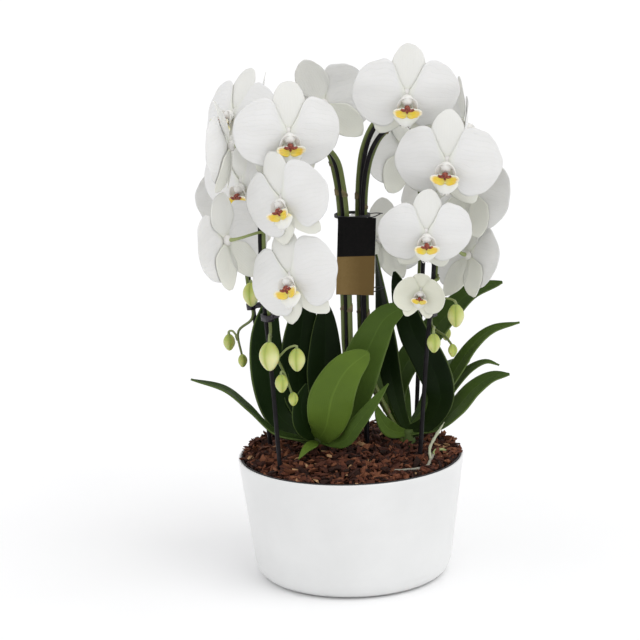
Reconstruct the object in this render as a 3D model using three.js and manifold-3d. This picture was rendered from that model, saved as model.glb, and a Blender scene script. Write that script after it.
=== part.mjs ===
// A potted moth orchid: four flower stems tied to bent wire hoops, with cascades of white blooms,
// two leafy plants in bark, and a round white pot with a dark inner pot.
// Millimetres, +Z up, the origin at the middle of the pot's foot. The front faces -Y.

import * as THREE from "three";
import { mergeVertices } from "three/addons/utils/BufferGeometryUtils.js";
import Module from "manifold-3d";

const wasm = await Module();
wasm.setup();

// Driving dimensions
const POT_RIM_RADIUS = 117.5;
const POT_WALL_FOOT_RADIUS = 101;
const POT_HEIGHT = 127;
const POT_WALL = 3;
const POT_SIDES = 32;
const LINER_WALL = 1.2;
const LINER = { height: 127.6, floorRadius: 74, cornerRadius: 91, cornerHeight: 15 };
const SEAT_GAP = 0.3;
const BARK_EDGE_HEIGHT = 124.4;
const BARK_CROWN_RISE = 13.6;
const HOOP_RADIUS = 2.2;
const STEM_RADIUS = 3;
const STEM_TIP_RADIUS = 1.3;
const PEDICEL_RADIUS = 1.8;
const PEDICEL_RISE = 1;
const BUNDLE_RADIUS = 11;
const BLOOM_REACH = 52;
const TEPAL_THICKNESS = 0.9;
const LEAF_THICKNESS = 2;
const TAG_SIZE = { width: 38.5, height: 80, thickness: 1 };

const degrees = THREE.MathUtils.degToRad;
const vector = (x, y, z) => new THREE.Vector3(x, y, z);

// Materials
const finish = (color, roughness, metalness = 0) =>
  new THREE.MeshStandardMaterial({ color, roughness, metalness });
const MATERIALS = {
  pot: finish(0xe6e7e6, 0.35),
  liner: finish(0x1b1a1c, 0.5),
  bark: finish(0x5a2e1e, 0.95),
  wire: finish(0x141216, 0.4),
  stem: finish(0x4c6629, 0.5),
  leaf: finish(0x3d6422, 0.4),
  bloom: finish(0xf1f1ee, 0.55),
  lip: finish(0xe8c93a, 0.5),
  tag: finish(0x8f6f42, 0.45),
  clip: finish(0x2a1d33, 0.45),
  tie: finish(0x17161a, 0.5),
  root: finish(0xb9bd8e, 0.8),
};

const orchid = new THREE.Group();

function addPiece(name, solid, material) {
  const mesh = new THREE.Mesh(geometryOf(solid), MATERIALS[material]);
  mesh.name = name;
  orchid.add(mesh);
}

// Solids: three.js geometry in, booleans, and geometry out again
function solidOf(geometry) {
  const bare = geometry.clone();
  bare.deleteAttribute("normal");
  bare.deleteAttribute("uv");
  const merged = mergeVertices(bare, 1e-4);
  return new wasm.Manifold(
    new wasm.Mesh({
      numProp: 3,
      vertProperties: new Float32Array(merged.attributes.position.array),
      triVerts: new Uint32Array(merged.index.array),
    }),
  );
}

function geometryOf(solid) {
  const mesh = solid.getMesh();
  const points = new Float32Array(mesh.numVert * 3);
  for (let i = 0; i < mesh.numVert; i++) {
    points.set(mesh.vertProperties.subarray(i * mesh.numProp, i * mesh.numProp + 3), i * 3);
  }
  return new THREE.BufferGeometry()
    .setAttribute("position", new THREE.BufferAttribute(points, 3))
    .setIndex(new THREE.BufferAttribute(new Uint32Array(mesh.triVerts), 1));
}

const joined = (solids) => solids.reduce((all, next) => all.add(next));

// A seeded draw between 0 and 1, so that every build is alike
function seededDraw(seed) {
  let state = seed;
  return () => {
    state = (state * 1664525 + 1013904223) % 4294967296;
    return state / 4294967296;
  };
}

function ellipsoid(centre, radii, sides = 6, rings = 3) {
  const ball = new THREE.SphereGeometry(1, sides, rings).scale(radii.x, radii.y, radii.z);
  return ball.translate(centre.x, centre.y, centre.z);
}

// A round rod along a curve, whose radius follows radiusAt from 0 at its start to 1 at its end
function rod(curve, radiusAt, sides, steps) {
  const outline = new THREE.Shape(
    Array.from({ length: sides }, (_, i) => {
      const turn = (2 * Math.PI * i) / sides;
      return new THREE.Vector2(Math.cos(turn), Math.sin(turn));
    }),
  );
  const geometry = new THREE.ExtrudeGeometry(outline, { steps, extrudePath: curve });
  const centres = curve.getSpacedPoints(steps);
  const points = geometry.attributes.position;
  const point = vector();
  for (let i = 0; i < points.count; i++) {
    point.fromBufferAttribute(points, i);
    let nearest = 0;
    centres.forEach((centre, k) => {
      if (centre.distanceTo(point) < centres[nearest].distanceTo(point)) nearest = k;
    });
    point.sub(centres[nearest]).setLength(radiusAt(nearest / steps)).add(centres[nearest]);
    points.setXYZ(i, point.x, point.y, point.z);
  }
  return solidOf(geometry);
}

// A closed blade round the surface(s, t), with s across and t along it, both from -1 to 1.
// Both faces are split into triangles alike, so that a waved blade never crosses itself.
function blade(surface, thickness, across, along) {
  const grid = new THREE.PlaneGeometry(2, 2, across, along);
  const flat = grid.attributes.position;
  const count = flat.count;
  const points = new Float32Array(count * 6);
  const step = 0.02;
  const inside = 0.94;
  for (let i = 0; i < count; i++) {
    const s = flat.getX(i);
    const t = flat.getY(i);
    const [a, b] = [s * inside, t * inside];
    const sideways = surface(a + step, b).sub(surface(a - step, b));
    const forwards = surface(a, b + step).sub(surface(a, b - step));
    const lift = sideways.cross(forwards).setLength(thickness / 2);
    const middle = surface(s, t);
    points.set(middle.clone().add(lift).toArray(), i * 3);
    points.set(middle.clone().sub(lift).toArray(), (count + i) * 3);
  }
  const faces = [];
  const front = grid.index.array;
  for (let i = 0; i < front.length; i += 3) {
    faces.push(front[i], front[i + 1], front[i + 2]);
    faces.push(front[i + 2] + count, front[i + 1] + count, front[i] + count);
  }
  const row = across + 1;
  const rim = [];
  for (let i = 0; i < across; i++) rim.push(i);
  for (let i = 0; i < along; i++) rim.push(i * row + across);
  for (let i = 0; i < across; i++) rim.push(along * row + across - i);
  for (let i = 0; i < along; i++) rim.push((along - i) * row);
  rim.forEach((a, i) => {
    const b = rim[(i + 1) % rim.length];
    faces.push(a, b, b + count, a, b + count, a + count);
  });
  const geometry = new THREE.BufferGeometry()
    .setAttribute("position", new THREE.BufferAttribute(points, 3))
    .setIndex(faces);
  return solidOf(geometry);
}

// The square from -1 to 1 drawn into a round disc
function onDisc(s, t) {
  return [s * Math.sqrt(1 - (t * t) / 2), t * Math.sqrt(1 - (s * s) / 2)];
}

// Hoops: each is a wire that rises in the bundle, arches over and comes down at the pot's edge, all in
// one upright plane through the bundle. turn is the way it arches, reach its widest distance from the
// bundle, foot where it lands and top its height.
const BUNDLE = { x: 8, y: -1 };
const HOOPS = {
  front_left: { turn: 217, reach: 116, foot: 99, top: 470 },
  back_left: { turn: 165, reach: 115, foot: 92, top: 474 },
  front_right: { turn: -29, reach: 92, foot: 68, top: 475 },
  back_right: { turn: 38, reach: 96, foot: 76, top: 481 },
};
const HOOP_FOOT_DEPTH = 92;
const HOOP_STEPS = 32;

function hoopFrame(hoop) {
  const turn = degrees(hoop.turn);
  return {
    outward: vector(Math.cos(turn), Math.sin(turn), 0),
    sideways: vector(-Math.sin(turn), Math.cos(turn), 0),
  };
}

function hoopCurve(hoop) {
  const { outward } = hoopFrame(hoop);
  const profile = [
    [BUNDLE_RADIUS, HOOP_FOOT_DEPTH],
    [BUNDLE_RADIUS, 220],
    [BUNDLE_RADIUS, 330],
    [BUNDLE_RADIUS + 1, 388],
    [BUNDLE_RADIUS + 6, hoop.top - 48],
    [BUNDLE_RADIUS + 15, hoop.top - 24],
    [0.43 * hoop.reach, hoop.top - 8],
    [0.66 * hoop.reach, hoop.top],
    [0.88 * hoop.reach, hoop.top - 16],
    [0.98 * hoop.reach, hoop.top - 64],
    [hoop.reach, hoop.top - 130],
    [0.55 * hoop.reach + 0.45 * hoop.foot, 240],
    [hoop.foot, HOOP_FOOT_DEPTH],
  ];
  return new THREE.CatmullRomCurve3(
    profile.map(([radius, height]) =>
      vector(BUNDLE.x, BUNDLE.y, height).addScaledVector(outward, radius),
    ),
  );
}

// The share of a hoop's length at which it comes down past a height
function shareAtHeight(curve, height) {
  let share = 1;
  while (curve.getPointAt(share).z < height) share -= 0.002;
  return share;
}

// The height of the bark at a radius from the pot's axis
const barkHeight = (radius) =>
  BARK_EDGE_HEIGHT + BARK_CROWN_RISE * (1 - (radius / linerInsideRadius(BARK_EDGE_HEIGHT)) ** 2);

// The pot and the inner pot
function potOutsideRadius(height) {
  return THREE.MathUtils.lerp(POT_WALL_FOOT_RADIUS, POT_RIM_RADIUS, height / POT_HEIGHT);
}

// The inner pot stands inside the pot by a gap at the rim only
function linerInsideRadius(height) {
  const rim = POT_RIM_RADIUS - POT_WALL - SEAT_GAP - LINER_WALL;
  const share = (height - LINER.cornerHeight) / (LINER.height - LINER.cornerHeight);
  return THREE.MathUtils.lerp(LINER.cornerRadius, rim, share);
}

const lathe = (profile, sides) =>
  solidOf(
    new THREE.LatheGeometry(
      profile.map(([radius, height]) => new THREE.Vector2(radius, height)),
      sides,
    ).rotateX(Math.PI / 2),
  );

function pot() {
  const insideFoot = potOutsideRadius(POT_WALL) - POT_WALL;
  const insideRim = potOutsideRadius(POT_HEIGHT) - POT_WALL;
  return lathe(
    [
      [0, 0],
      [84, 0],
      [95, 3.5],
      [potOutsideRadius(12), 12],
      [POT_RIM_RADIUS, POT_HEIGHT - 1],
      [POT_RIM_RADIUS - POT_WALL / 2, POT_HEIGHT],
      [insideRim, POT_HEIGHT - 1],
      [insideFoot - 4, POT_WALL + 8],
      [insideFoot - 16, POT_WALL],
      [0, POT_WALL],
    ],
    POT_SIDES,
  );
}

// The inner pot's inside from its floor up to a height, drawn in by a gap
function linerInside(height, gap) {
  return [
    [0, POT_WALL + SEAT_GAP + LINER_WALL + gap],
    [LINER.floorRadius - gap, POT_WALL + SEAT_GAP + LINER_WALL + gap],
    [LINER.cornerRadius - gap, LINER.cornerHeight],
    [linerInsideRadius(height) - gap, height],
  ];
}

function liner() {
  const outside = linerInside(LINER.height, -LINER_WALL);
  return lathe([...outside, ...linerInside(LINER.height, 0).reverse()], POT_SIDES);
}

// The bark: a mounded filling with rough relief and larger chips on it
function bark(keptClear) {
  const edge = linerInsideRadius(BARK_EDGE_HEIGHT) - SEAT_GAP;
  const rings = 4;
  const profile = linerInside(BARK_EDGE_HEIGHT - 4, SEAT_GAP);
  for (let i = rings; i >= 0; i--) {
    const radius = ((edge - 2) * i) / rings;
    profile.push([radius, barkHeight(radius)]);
  }
  const filling = new THREE.LatheGeometry(
    profile.map(([radius, height]) => new THREE.Vector2(radius, height)),
    POT_SIDES,
  ).rotateX(Math.PI / 2);
  roughen(filling, edge);
  const chips = barkChips(edge).filter((chip) => chip.intersect(keptClear).isEmpty());
  return joined([solidOf(filling), ...chips]);
}

// Moves the points of the mounded top up or down, alike for points that coincide
function roughen(geometry, edge) {
  const relief = 3.2;
  const points = geometry.attributes.position;
  for (let i = 0; i < points.count; i++) {
    const [x, y, z] = [points.getX(i), points.getY(i), points.getZ(i)];
    const radius = Math.hypot(x, y);
    if (z < BARK_EDGE_HEIGHT || radius < 1 || radius > edge - 5) continue;
    const angle = Math.round((Math.atan2(y, x) / Math.PI) * 180 + 360) % 360;
    const wobble = Math.sin(angle * 3.7 + radius * 1.9) + Math.sin(angle * 1.3 - radius * 0.7);
    points.setZ(i, z + (relief * wobble) / 2);
  }
}

function barkChips(edge) {
  const draw = seededDraw(11);
  const chips = [];
  const count = 15;
  for (let i = 0; i < count; i++) {
    const radius = (edge - 14) * Math.sqrt((i + 0.5) / count);
    const angle = i * 2.39996;
    const chip = new THREE.BoxGeometry(13 + 9 * draw(), 8 + 5 * draw(), 6 + 3 * draw());
    chip.rotateX(0.7 * (draw() - 0.5)).rotateY(0.9 * (draw() - 0.5)).rotateZ(Math.PI * draw());
    const height = barkHeight(radius) + 2;
    chip.translate(radius * Math.cos(angle), radius * Math.sin(angle), height);
    chips.push(solidOf(chip));
  }
  return chips;
}

// Blooms. Each is placed by the point where its two petals part, the way it faces and its lean.
// yaw 0 faces the front, 90 the right; pitch is up; lean turns it anticlockwise as seen from its face.
// at is the share of the stem's length where its pedicel leaves.
const BLOOM_BOW = 9;
const BLOOM_WAVE = 1.3;

function bloom(name, at, place, pose) {
  return { name, stem: name.slice(0, -2), at, place, scale: 1, bow: BLOOM_BOW, ...pose };
}

const BLOOMS = [
  bloom("front_right_1", 0.56, [64, -63, 514], { yaw: 4, pitch: -15, lean: -4 }),
  bloom("front_right_2", 0.62, [101, -80, 449], { yaw: -14, pitch: -6, lean: -2 }),
  bloom("front_right_3", 0.75, [79, -86, 379], { yaw: 4, pitch: -14, lean: -3, scale: 0.88 }),
  bloom("front_right_4", 0.86, [73, -82, 319], { yaw: -8, pitch: -10, lean: -8, scale: 0.56, bow: -20 }),
  bloom("front_right_5", 0.65, [130, -26, 409], { yaw: 140, pitch: -14, lean: 4, scale: 0.98 }),
  bloom("front_right_6", 0.77, [125, -29, 344], { yaw: 128, pitch: -12, lean: -6, scale: 0.93 }),
  bloom("back_right_1", 0.6, [125, 32, 470], { yaw: 98, pitch: -4, lean: 6 }),
  bloom("back_right_2", 0.62, [66, 79, 438], { yaw: 206, pitch: -8, lean: 4 }),
  bloom("back_right_3", 0.74, [115, 97, 385], { yaw: 164, pitch: -12, lean: -8 }),
  bloom("back_right_4", 0.84, [39, 81, 342], { yaw: 194, pitch: -12, lean: 6, scale: 0.9 }),
  bloom("front_left_1", 0.54, [-53, -87, 483], { yaw: 12, pitch: -8, lean: -2 }),
  bloom("front_left_2", 0.66, [-63, -108, 421], { yaw: -36, pitch: -2, lean: 20, scale: 0.95 }),
  bloom("front_left_3", 0.79, [-57, -104, 344], { yaw: -36, pitch: 3, lean: 20 }),
  bloom("front_left_4", 0.6, [-113, -62, 467], { yaw: -98, pitch: -4, lean: 4, bow: -12 }),
  bloom("front_left_5", 0.74, [-120, -62, 373], { yaw: -130, pitch: -8, lean: -10 }),
  bloom("back_left_1", 0.47, [-20, 49, 492], { yaw: 174, pitch: -4, lean: -24 }),
  bloom("back_left_2", 0.6, [-84, 78, 474], { yaw: -94, pitch: -4, lean: 4 }),
  bloom("back_left_3", 0.57, [-108, 19, 490], { yaw: -50, pitch: 22, lean: 2 }),
  bloom("back_left_4", 0.69, [-104, -12, 423], { yaw: -34, pitch: -8, lean: 6 }),
  bloom("back_left_5", 0.76, [-103, 88, 390], { yaw: 190, pitch: -12, lean: 6 }),
];

// Tepals: angle is the direction from the bloom's middle, length and width are of the whole tepal,
// and layer is how far it stands before or behind the bloom's middle.
const PETAL = { start: 3, length: 50, width: 66, layer: 1.5, claw: 0.66, cells: [3, 3] };
const DORSAL_SEPAL = { start: 3, length: 46, width: 34, layer: -1.5, claw: 0.5, cells: [2, 2] };
const LATERAL_SEPAL = { start: 3, length: 47, width: 31, layer: -1.5, claw: 0.5, cells: [2, 2] };
const TEPALS = [
  { ...PETAL, angle: -4 },
  { ...PETAL, angle: 184 },
  { ...DORSAL_SEPAL, angle: 90 },
  { ...LATERAL_SEPAL, angle: -61 },
  { ...LATERAL_SEPAL, angle: -119 },
];
const HUB_RADIUS = 6;
const HUB_DEPTH = 5;
const HUB_DROP = 5;
const SLIVER = 0.05;

function bloomFrame(bloom) {
  const [yaw, pitch, lean] = [bloom.yaw, bloom.pitch, bloom.lean].map(degrees);
  const facing = vector(
    Math.sin(yaw) * Math.cos(pitch),
    -Math.cos(yaw) * Math.cos(pitch),
    Math.sin(pitch),
  );
  const level = vector(Math.cos(yaw), Math.sin(yaw), 0);
  const matrix = new THREE.Matrix4().makeBasis(level, facing.clone().cross(level), facing);
  matrix.setPosition(...bloom.place);
  matrix.multiply(new THREE.Matrix4().makeRotationZ(lean));
  matrix.scale(vector(bloom.scale, bloom.scale, bloom.scale));
  matrix.multiply(new THREE.Matrix4().makeTranslation(0, -HUB_DROP, 0));
  return { matrix, facing };
}

// All tepals of a bloom follow one bowed and gently waved field, so that its layers never cross
function tepalSurface(tepal, bloom, phase) {
  const angle = degrees(tepal.angle);
  return (s, t) => {
    const [x, y] = onDisc(s, t);
    const u = (y + 1) / 2;
    const narrowing = tepal.claw + (1 - tepal.claw) * THREE.MathUtils.smoothstep(u, 0, 0.42);
    const along = tepal.start + tepal.length * u;
    const across = (x * tepal.width * narrowing) / 2;
    const px = Math.cos(angle) * along - Math.sin(angle) * across;
    const py = Math.sin(angle) * along + Math.cos(angle) * across;
    const reach = Math.hypot(px, py) / BLOOM_REACH;
    const around = Math.atan2(py, px);
    const wave = Math.sin(2 * around + phase) + 0.6 * Math.sin(5 * around + 2 * phase);
    const depth = tepal.layer - bloom.bow * reach ** 2 + BLOOM_WAVE * wave * reach ** 3;
    return vector(px, py, depth);
  };
}

function bloomSolid(bloom, index) {
  const phase = 1.7 * index;
  const parts = TEPALS.map((tepal) =>
    blade(tepalSurface(tepal, bloom, phase), TEPAL_THICKNESS, ...tepal.cells),
  );
  parts.push(solidOf(ellipsoid(vector(0, 0, 0), vector(HUB_RADIUS, HUB_RADIUS, HUB_DEPTH), 5, 2)));
  parts.push(solidOf(ellipsoid(vector(0, 0, 8), vector(3.8, 4.5, 7), 4, 2)));
  return joined(parts).simplify(SLIVER).transform(bloomFrame(bloom).matrix.toArray());
}

// The lip: a root below the column, a bar of two side lobes curved forward and a pointed middle lobe
function lipSolid(bloom) {
  const middleLobe = (s, t) => {
    const [x, y] = onDisc(s, t);
    const u = (y + 1) / 2;
    return vector(x * 10 * (1.15 - 0.5 * u), -12 - 20 * u, 10 + 9 * u - 6 * u * u - 2 * x * x);
  };
  const sideLobes = (s, t) => vector(15 * s, -14.5 + t * (5.5 - 2 * s * s) + 3 * s * s, 11.5 + 4 * s * s);
  const parts = [
    solidOf(ellipsoid(vector(0, -9.85, 8), vector(5, 5, 7), 4, 2)),
    blade(middleLobe, 1.1, 1, 2),
    blade(sideLobes, 1.3, 2, 1),
  ];
  return joined(parts).transform(bloomFrame(bloom).matrix.toArray());
}

// Flower stems: up from the crown of a plant, along a hoop in the bundle and over the arch, then
// hanging free below a height with the last buds.
const STEMS = {
  front_left: {
    root: [-32, -12, 128],
    free: 279,
    tip: [[-78, -84, 266], [-66, -90, 240], [-57.5, -91, 215]],
    buds: [
      { at: 0.9, place: [-79, -94, 256], size: 10.4 },
      { at: 0.94, place: [-52, -95, 252], size: 8.4 },
      { at: 0.975, place: [-68, -98, 229], size: 6.6 },
      { at: 1, place: [-57, -91, 211], size: 5 },
    ],
  },
  back_left: {
    root: [-36, -6.5, 128],
    free: 270,
    tip: [[-114, 36, 252], [-110.5, 25, 229]],
    buds: [
      { at: 0.88, place: [-98, 12, 297], size: 9 },
      { at: 0.97, place: [-124, 42, 240], size: 6.4 },
      { at: 1, place: [-110, 24, 224], size: 5 },
    ],
  },
  front_right: {
    root: [58, 7, 128],
    free: 270,
    tip: [[98, -58, 262], [103, -66, 256]],
    buds: [
      { at: 0.9, place: [108, -64, 285], size: 8.4 },
      { at: 0.95, place: [85, -70, 259], size: 7 },
      { at: 1, place: [104, -67, 250], size: 4.8 },
    ],
  },
  back_right: {
    root: [60.5, 13, 128],
    free: 274,
    tip: [[82, 66, 258], [94, 74, 247], [105, 78, 239]],
    buds: [
      { at: 0.93, place: [88, 84, 262], size: 7.4 },
      { at: 1, place: [106, 78, 234], size: 5.4 },
    ],
  },
};
const STEM_OFFSET = HOOP_RADIUS + STEM_RADIUS + 0.7;
const STEM_JOINS_BUNDLE = 0.16;

function stemCurve(name) {
  const hoop = HOOPS[name];
  const stem = STEMS[name];
  const { sideways } = hoopFrame(hoop);
  const along = hoopCurve(hoop);
  const end = shareAtHeight(along, stem.free);
  const samples = 18;
  const points = [vector(...stem.root)];
  for (let i = 0; i <= samples; i++) {
    const share = THREE.MathUtils.lerp(STEM_JOINS_BUNDLE, end, i / samples);
    points.push(along.getPointAt(share).addScaledVector(sideways, STEM_OFFSET));
  }
  stem.tip.forEach((place) => points.push(vector(...place)));
  return new THREE.CatmullRomCurve3(points);
}

const STEM_STEPS = 32;
const stemRadiusAt = (share) => THREE.MathUtils.lerp(STEM_RADIUS, STEM_TIP_RADIUS, share ** 3);

// The middle of a stem's faceted rod at a share of its length
function pointOnRod(curve, share) {
  const stations = curve.getSpacedPoints(STEM_STEPS);
  const k = Math.min(Math.floor(share * STEM_STEPS), STEM_STEPS - 1);
  return stations[k].clone().lerp(stations[k + 1], share * STEM_STEPS - k);
}

// The way out of a hoop's arch, square to the stem on it
function outOfArch(name, curve, share) {
  const { outward } = hoopFrame(HOOPS[name]);
  const along = curve.getTangentAt(share);
  const way = outward.clone().multiplyScalar(Math.max(0, -along.z));
  return way.setZ(along.dot(outward)).normalize();
}

// The stalk of a bloom, from within its stem to just behind its hub. It leaves partly out of the arch
// and partly towards the bloom, to clear the wire.
function pedicel(curve, bloom) {
  const { facing, matrix } = bloomFrame(bloom);
  const hub = vector().applyMatrix4(matrix);
  const end = hub.addScaledVector(facing, -(HUB_DEPTH * bloom.scale + SEAT_GAP));
  const out = outOfArch(bloom.stem, curve, bloom.at);
  const start = pointOnRod(curve, bloom.at).addScaledVector(out, PEDICEL_RISE);
  const toBloom = end.clone().sub(start);
  const leaving = out.multiplyScalar(2).add(toBloom.clone().normalize()).normalize();
  const handle = 0.4 * toBloom.length();
  const path = new THREE.CubicBezierCurve3(
    start,
    start.clone().addScaledVector(leaving, handle),
    end.clone().addScaledVector(facing, -handle),
    end,
  );
  return rod(path, () => PEDICEL_RADIUS, 3, 3);
}

function spraySolid(name) {
  const curve = stemCurve(name);
  const parts = [rod(curve, stemRadiusAt, 5, STEM_STEPS)];
  for (const bloom of BLOOMS.filter((b) => b.stem === name)) {
    parts.push(pedicel(curve, bloom));
  }
  for (const bud of STEMS[name].buds) {
    const place = vector(...bud.place);
    const top = place.clone().add(vector(0, 0, bud.size));
    const start = pointOnRod(curve, bud.at);
    const path = new THREE.QuadraticBezierCurve3(start, vector(top.x, top.y, top.z + 6), top);
    parts.push(solidOf(ellipsoid(place, vector(bud.size, bud.size, bud.size * 1.45), 5, 3)));
    if (bud.at < 1) parts.push(rod(path, () => PEDICEL_RADIUS * 0.75, 3, 3));
  }
  return joined(parts);
}

// Leaves: the midrib runs from the crown through the places, to the tip. face lists the ways that its
// upper side looks, evenly along it.
const PLANTS = {
  left: {
    crown: [-34, -10],
    leaves: [
      {
        width: 24,
        through: [[-78, -25, 159], [-104, -35, 188], [-127, -40, 210], [-161, -42, 222]],
        face: [[0.5, -0.1, 1], [0.2, -0.25, 1]],
      },
      {
        width: 54,
        through: [[-72, -4, 168], [-83, 0, 210], [-86, 4, 252], [-79, 8, 292]],
        face: [[1, -0.9, 0.3], [0.7, -1, 0.1]],
      },
      {
        width: 50,
        through: [[-51, 14, 185], [-50, 22, 237], [-42, 28, 292]],
        face: [[0.4, -1, 0.3], [0.3, -1, 0.1]],
      },
      {
        width: 42,
        through: [[-27, 6, 180], [-24, 16, 230], [-22, 22, 284]],
        face: [[0.1, -1, 0.2], [0, -1, 0.1]],
      },
      {
        width: 26,
        through: [[-47, -26, 164], [-50, -32, 189], [-44, -34, 212]],
        face: [[0.5, -1, 0.2], [0.2, -1, 0.1]],
      },
      {
        width: 52,
        through: [[-25, -40, 168], [-17, -54, 205], [-2, -60, 232], [20, -60, 249]],
        face: [[0.1, -1, 0.4], [-0.05, -1, 0.3]],
      },
      {
        width: 48,
        through: [[-4, -22, 178], [10, -34, 222], [24, -38, 255], [38, -40, 279], [59, -42, 292]],
        face: [[-0.2, -1, 0.3], [-0.3, -1, 0.3]],
      },
      {
        width: 20,
        through: [[-8, -36, 150], [6, -48, 170], [20, -56, 190], [39, -60, 216]],
        face: [[-0.4, -1, 0.6], [-0.5, -1, 0.4]],
      },
      {
        width: 13,
        through: [[-40, -34, 147], [-46, -46, 146], [-54, -58, 139]],
        face: [[0.2, -0.6, 1], [0.2, -0.6, 1]],
      },
      {
        width: 44,
        through: [[-62, 38, 172], [-82, 74, 206], [-100, 112, 210]],
        face: [[0.4, -0.3, 1], [0.3, -0.2, 1]],
      },
      {
        width: 46,
        through: [[-34, 34, 170], [-36, 66, 210], [-40, 112, 226]],
        face: [[0, -0.5, 1], [0, -0.4, 1]],
      },
    ],
  },
  right: {
    crown: [60, 10],
    leaves: [
      {
        width: 40,
        through: [
          [82, 0, 158], [94, -8, 182], [92, -12, 204], [82, -10, 229], [69, -5, 253],
          [60, 2, 279], [50, 10, 317],
        ],
        face: [[-0.3, -1, 0.2], [-0.3, -1, 0.1], [-0.3, -1, -0.1]],
      },
      {
        width: 30,
        through: [[52, 6, 172], [44, 8, 210], [40, 13, 252], [37, 16, 289], [32, 18, 334]],
        face: [[0.2, -1, 0.3], [-0.7, -1, 0.1], [-1, -0.4, 0]],
      },
      {
        width: 38,
        through: [
          [50, 24, 175], [58, 31, 207], [82, 37, 237], [107, 39, 265], [131, 38, 287],
          [163, 32, 298],
        ],
        face: [[-0.4, -1, 0.5], [-0.5, -0.8, 0.8], [-0.2, -0.8, 1]],
      },
      {
        width: 24,
        through: [[91, 20, 176], [112, 25, 206], [131, 25, 233], [151, 22, 250], [179, 16, 258]],
        face: [[-0.6, -0.6, 0.9], [-0.3, -0.7, 1]],
      },
      {
        width: 18,
        through: [[92, 34, 164], [112, 40, 188], [130, 40, 205], [146, 38, 212], [159, 36, 208]],
        face: [[-0.5, -0.5, 1], [0, -0.6, 1]],
      },
      {
        width: 32,
        through: [[92, 4, 154], [112, -2, 173], [130, -5, 194], [148, -6, 206], [166, -8, 209]],
        face: [[-0.5, -0.4, 1], [-0.2, -0.7, 1]],
      },
      {
        width: 20,
        through: [[48, -4, 150], [38, -14, 158], [31, -17, 170], [27, -17, 184]],
        face: [[0.2, -1, 0.4], [0.4, -1, 0.1]],
      },
      {
        width: 42,
        through: [[88, 36, 168], [108, 64, 196], [130, 102, 202]],
        face: [[-0.3, -0.4, 1], [-0.2, -0.3, 1]],
      },
      {
        width: 44,
        through: [[50, 44, 166], [38, 78, 196], [26, 118, 202]],
        face: [[0, -0.5, 1], [0, -0.4, 1]],
      },
    ],
  },
};
const LEAF_KEEL = 0.16;
const LEAF_BASE_HEIGHT = 144.5;
const LEAF_BASE_SHARE = 0.36;
const LEAF_TIP_BLUNTNESS = 2.6;
const CROWN = { radius: 11, bottom: 98, top: 152 };

// A blade that is narrow at its base and round at its tip, with a channel along its midrib
function leafSurface(leaf, crown) {
  const places = [[...crown, LEAF_BASE_HEIGHT], ...leaf.through];
  const midrib = new THREE.CatmullRomCurve3(places.map((place) => vector(...place)));
  const faces = leaf.face.map((direction) => vector(...direction).normalize());
  return (s, t) => {
    const u = THREE.MathUtils.clamp((t + 1) / 2, 0, 1);
    const middle = midrib.getPointAt(u);
    const forwards = midrib.getTangentAt(u);
    const stage = Math.min(Math.floor(u * (faces.length - 1)), faces.length - 2);
    const face = faces[stage].clone().lerp(faces[stage + 1], u * (faces.length - 1) - stage);
    const sideways = forwards.clone().cross(face).normalize();
    const upwards = sideways.clone().cross(forwards);
    const opening = LEAF_BASE_SHARE + (1 - LEAF_BASE_SHARE) * THREE.MathUtils.smoothstep(u, 0, 0.55);
    const width = leaf.width * Math.max(0.06, opening * Math.sqrt(1 - u ** LEAF_TIP_BLUNTNESS));
    const across = (s * width) / 2;
    return middle
      .addScaledVector(sideways, across)
      .addScaledVector(upwards, LEAF_KEEL * Math.abs(across));
  };
}

function plantSolid(plant) {
  const [x, y] = plant.crown;
  const height = CROWN.top - CROWN.bottom;
  const stump = new THREE.CylinderGeometry(CROWN.radius, CROWN.radius, height, 8).rotateX(Math.PI / 2);
  const parts = [solidOf(stump.translate(x, y, (CROWN.top + CROWN.bottom) / 2))];
  for (const leaf of plant.leaves) {
    parts.push(blade(leafSurface(leaf, plant.crown), LEAF_THICKNESS, 2, 6));
  }
  return joined(parts);
}

// Clips: a flat ring round a hoop's wire and its stem, with two finger tabs
const CLIP_HEIGHTS = { front_left: 290, back_left: 281, front_right: 282 };
const CLIP_BORE = 3.25;

function clipSolid(name) {
  const { sideways } = hoopFrame(HOOPS[name]);
  const along = hoopCurve(HOOPS[name]);
  const share = shareAtHeight(along, CLIP_HEIGHTS[name]);
  const wire = along.getPointAt(share);
  const axis = along.getTangentAt(share);
  const half = STEM_OFFSET / 2;
  const outer = CLIP_BORE + 1.8;
  const outline = (radius) => {
    const shape = new THREE.Shape();
    shape.absarc(half, 0, radius, -Math.PI / 2, Math.PI / 2, false);
    shape.absarc(-half, 0, radius, Math.PI / 2, (3 * Math.PI) / 2, false);
    return shape;
  };
  const ring = outline(outer);
  ring.holes.push(outline(CLIP_BORE));
  const band = new THREE.ExtrudeGeometry(ring, { depth: 7, bevelEnabled: false, curveSegments: 3 });
  const tab = new THREE.BoxGeometry(3, 9, 5).translate(half, -outer - 3, 3.5);
  const otherTab = new THREE.BoxGeometry(3, 9, 5).translate(-half, -outer - 3, 3.5);
  const outward = sideways.clone().cross(axis);
  const matrix = new THREE.Matrix4().makeBasis(sideways, outward.negate(), axis.clone().negate());
  matrix.setPosition(wire.addScaledVector(sideways, half).addScaledVector(axis, 3.5));
  return joined([band, tab, otherTab].map(solidOf)).transform(matrix.toArray());
}

const TIE_RADIUS = BUNDLE_RADIUS + STEM_RADIUS + 3.2;
const TIE_THICKNESS = 1.6;

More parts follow.
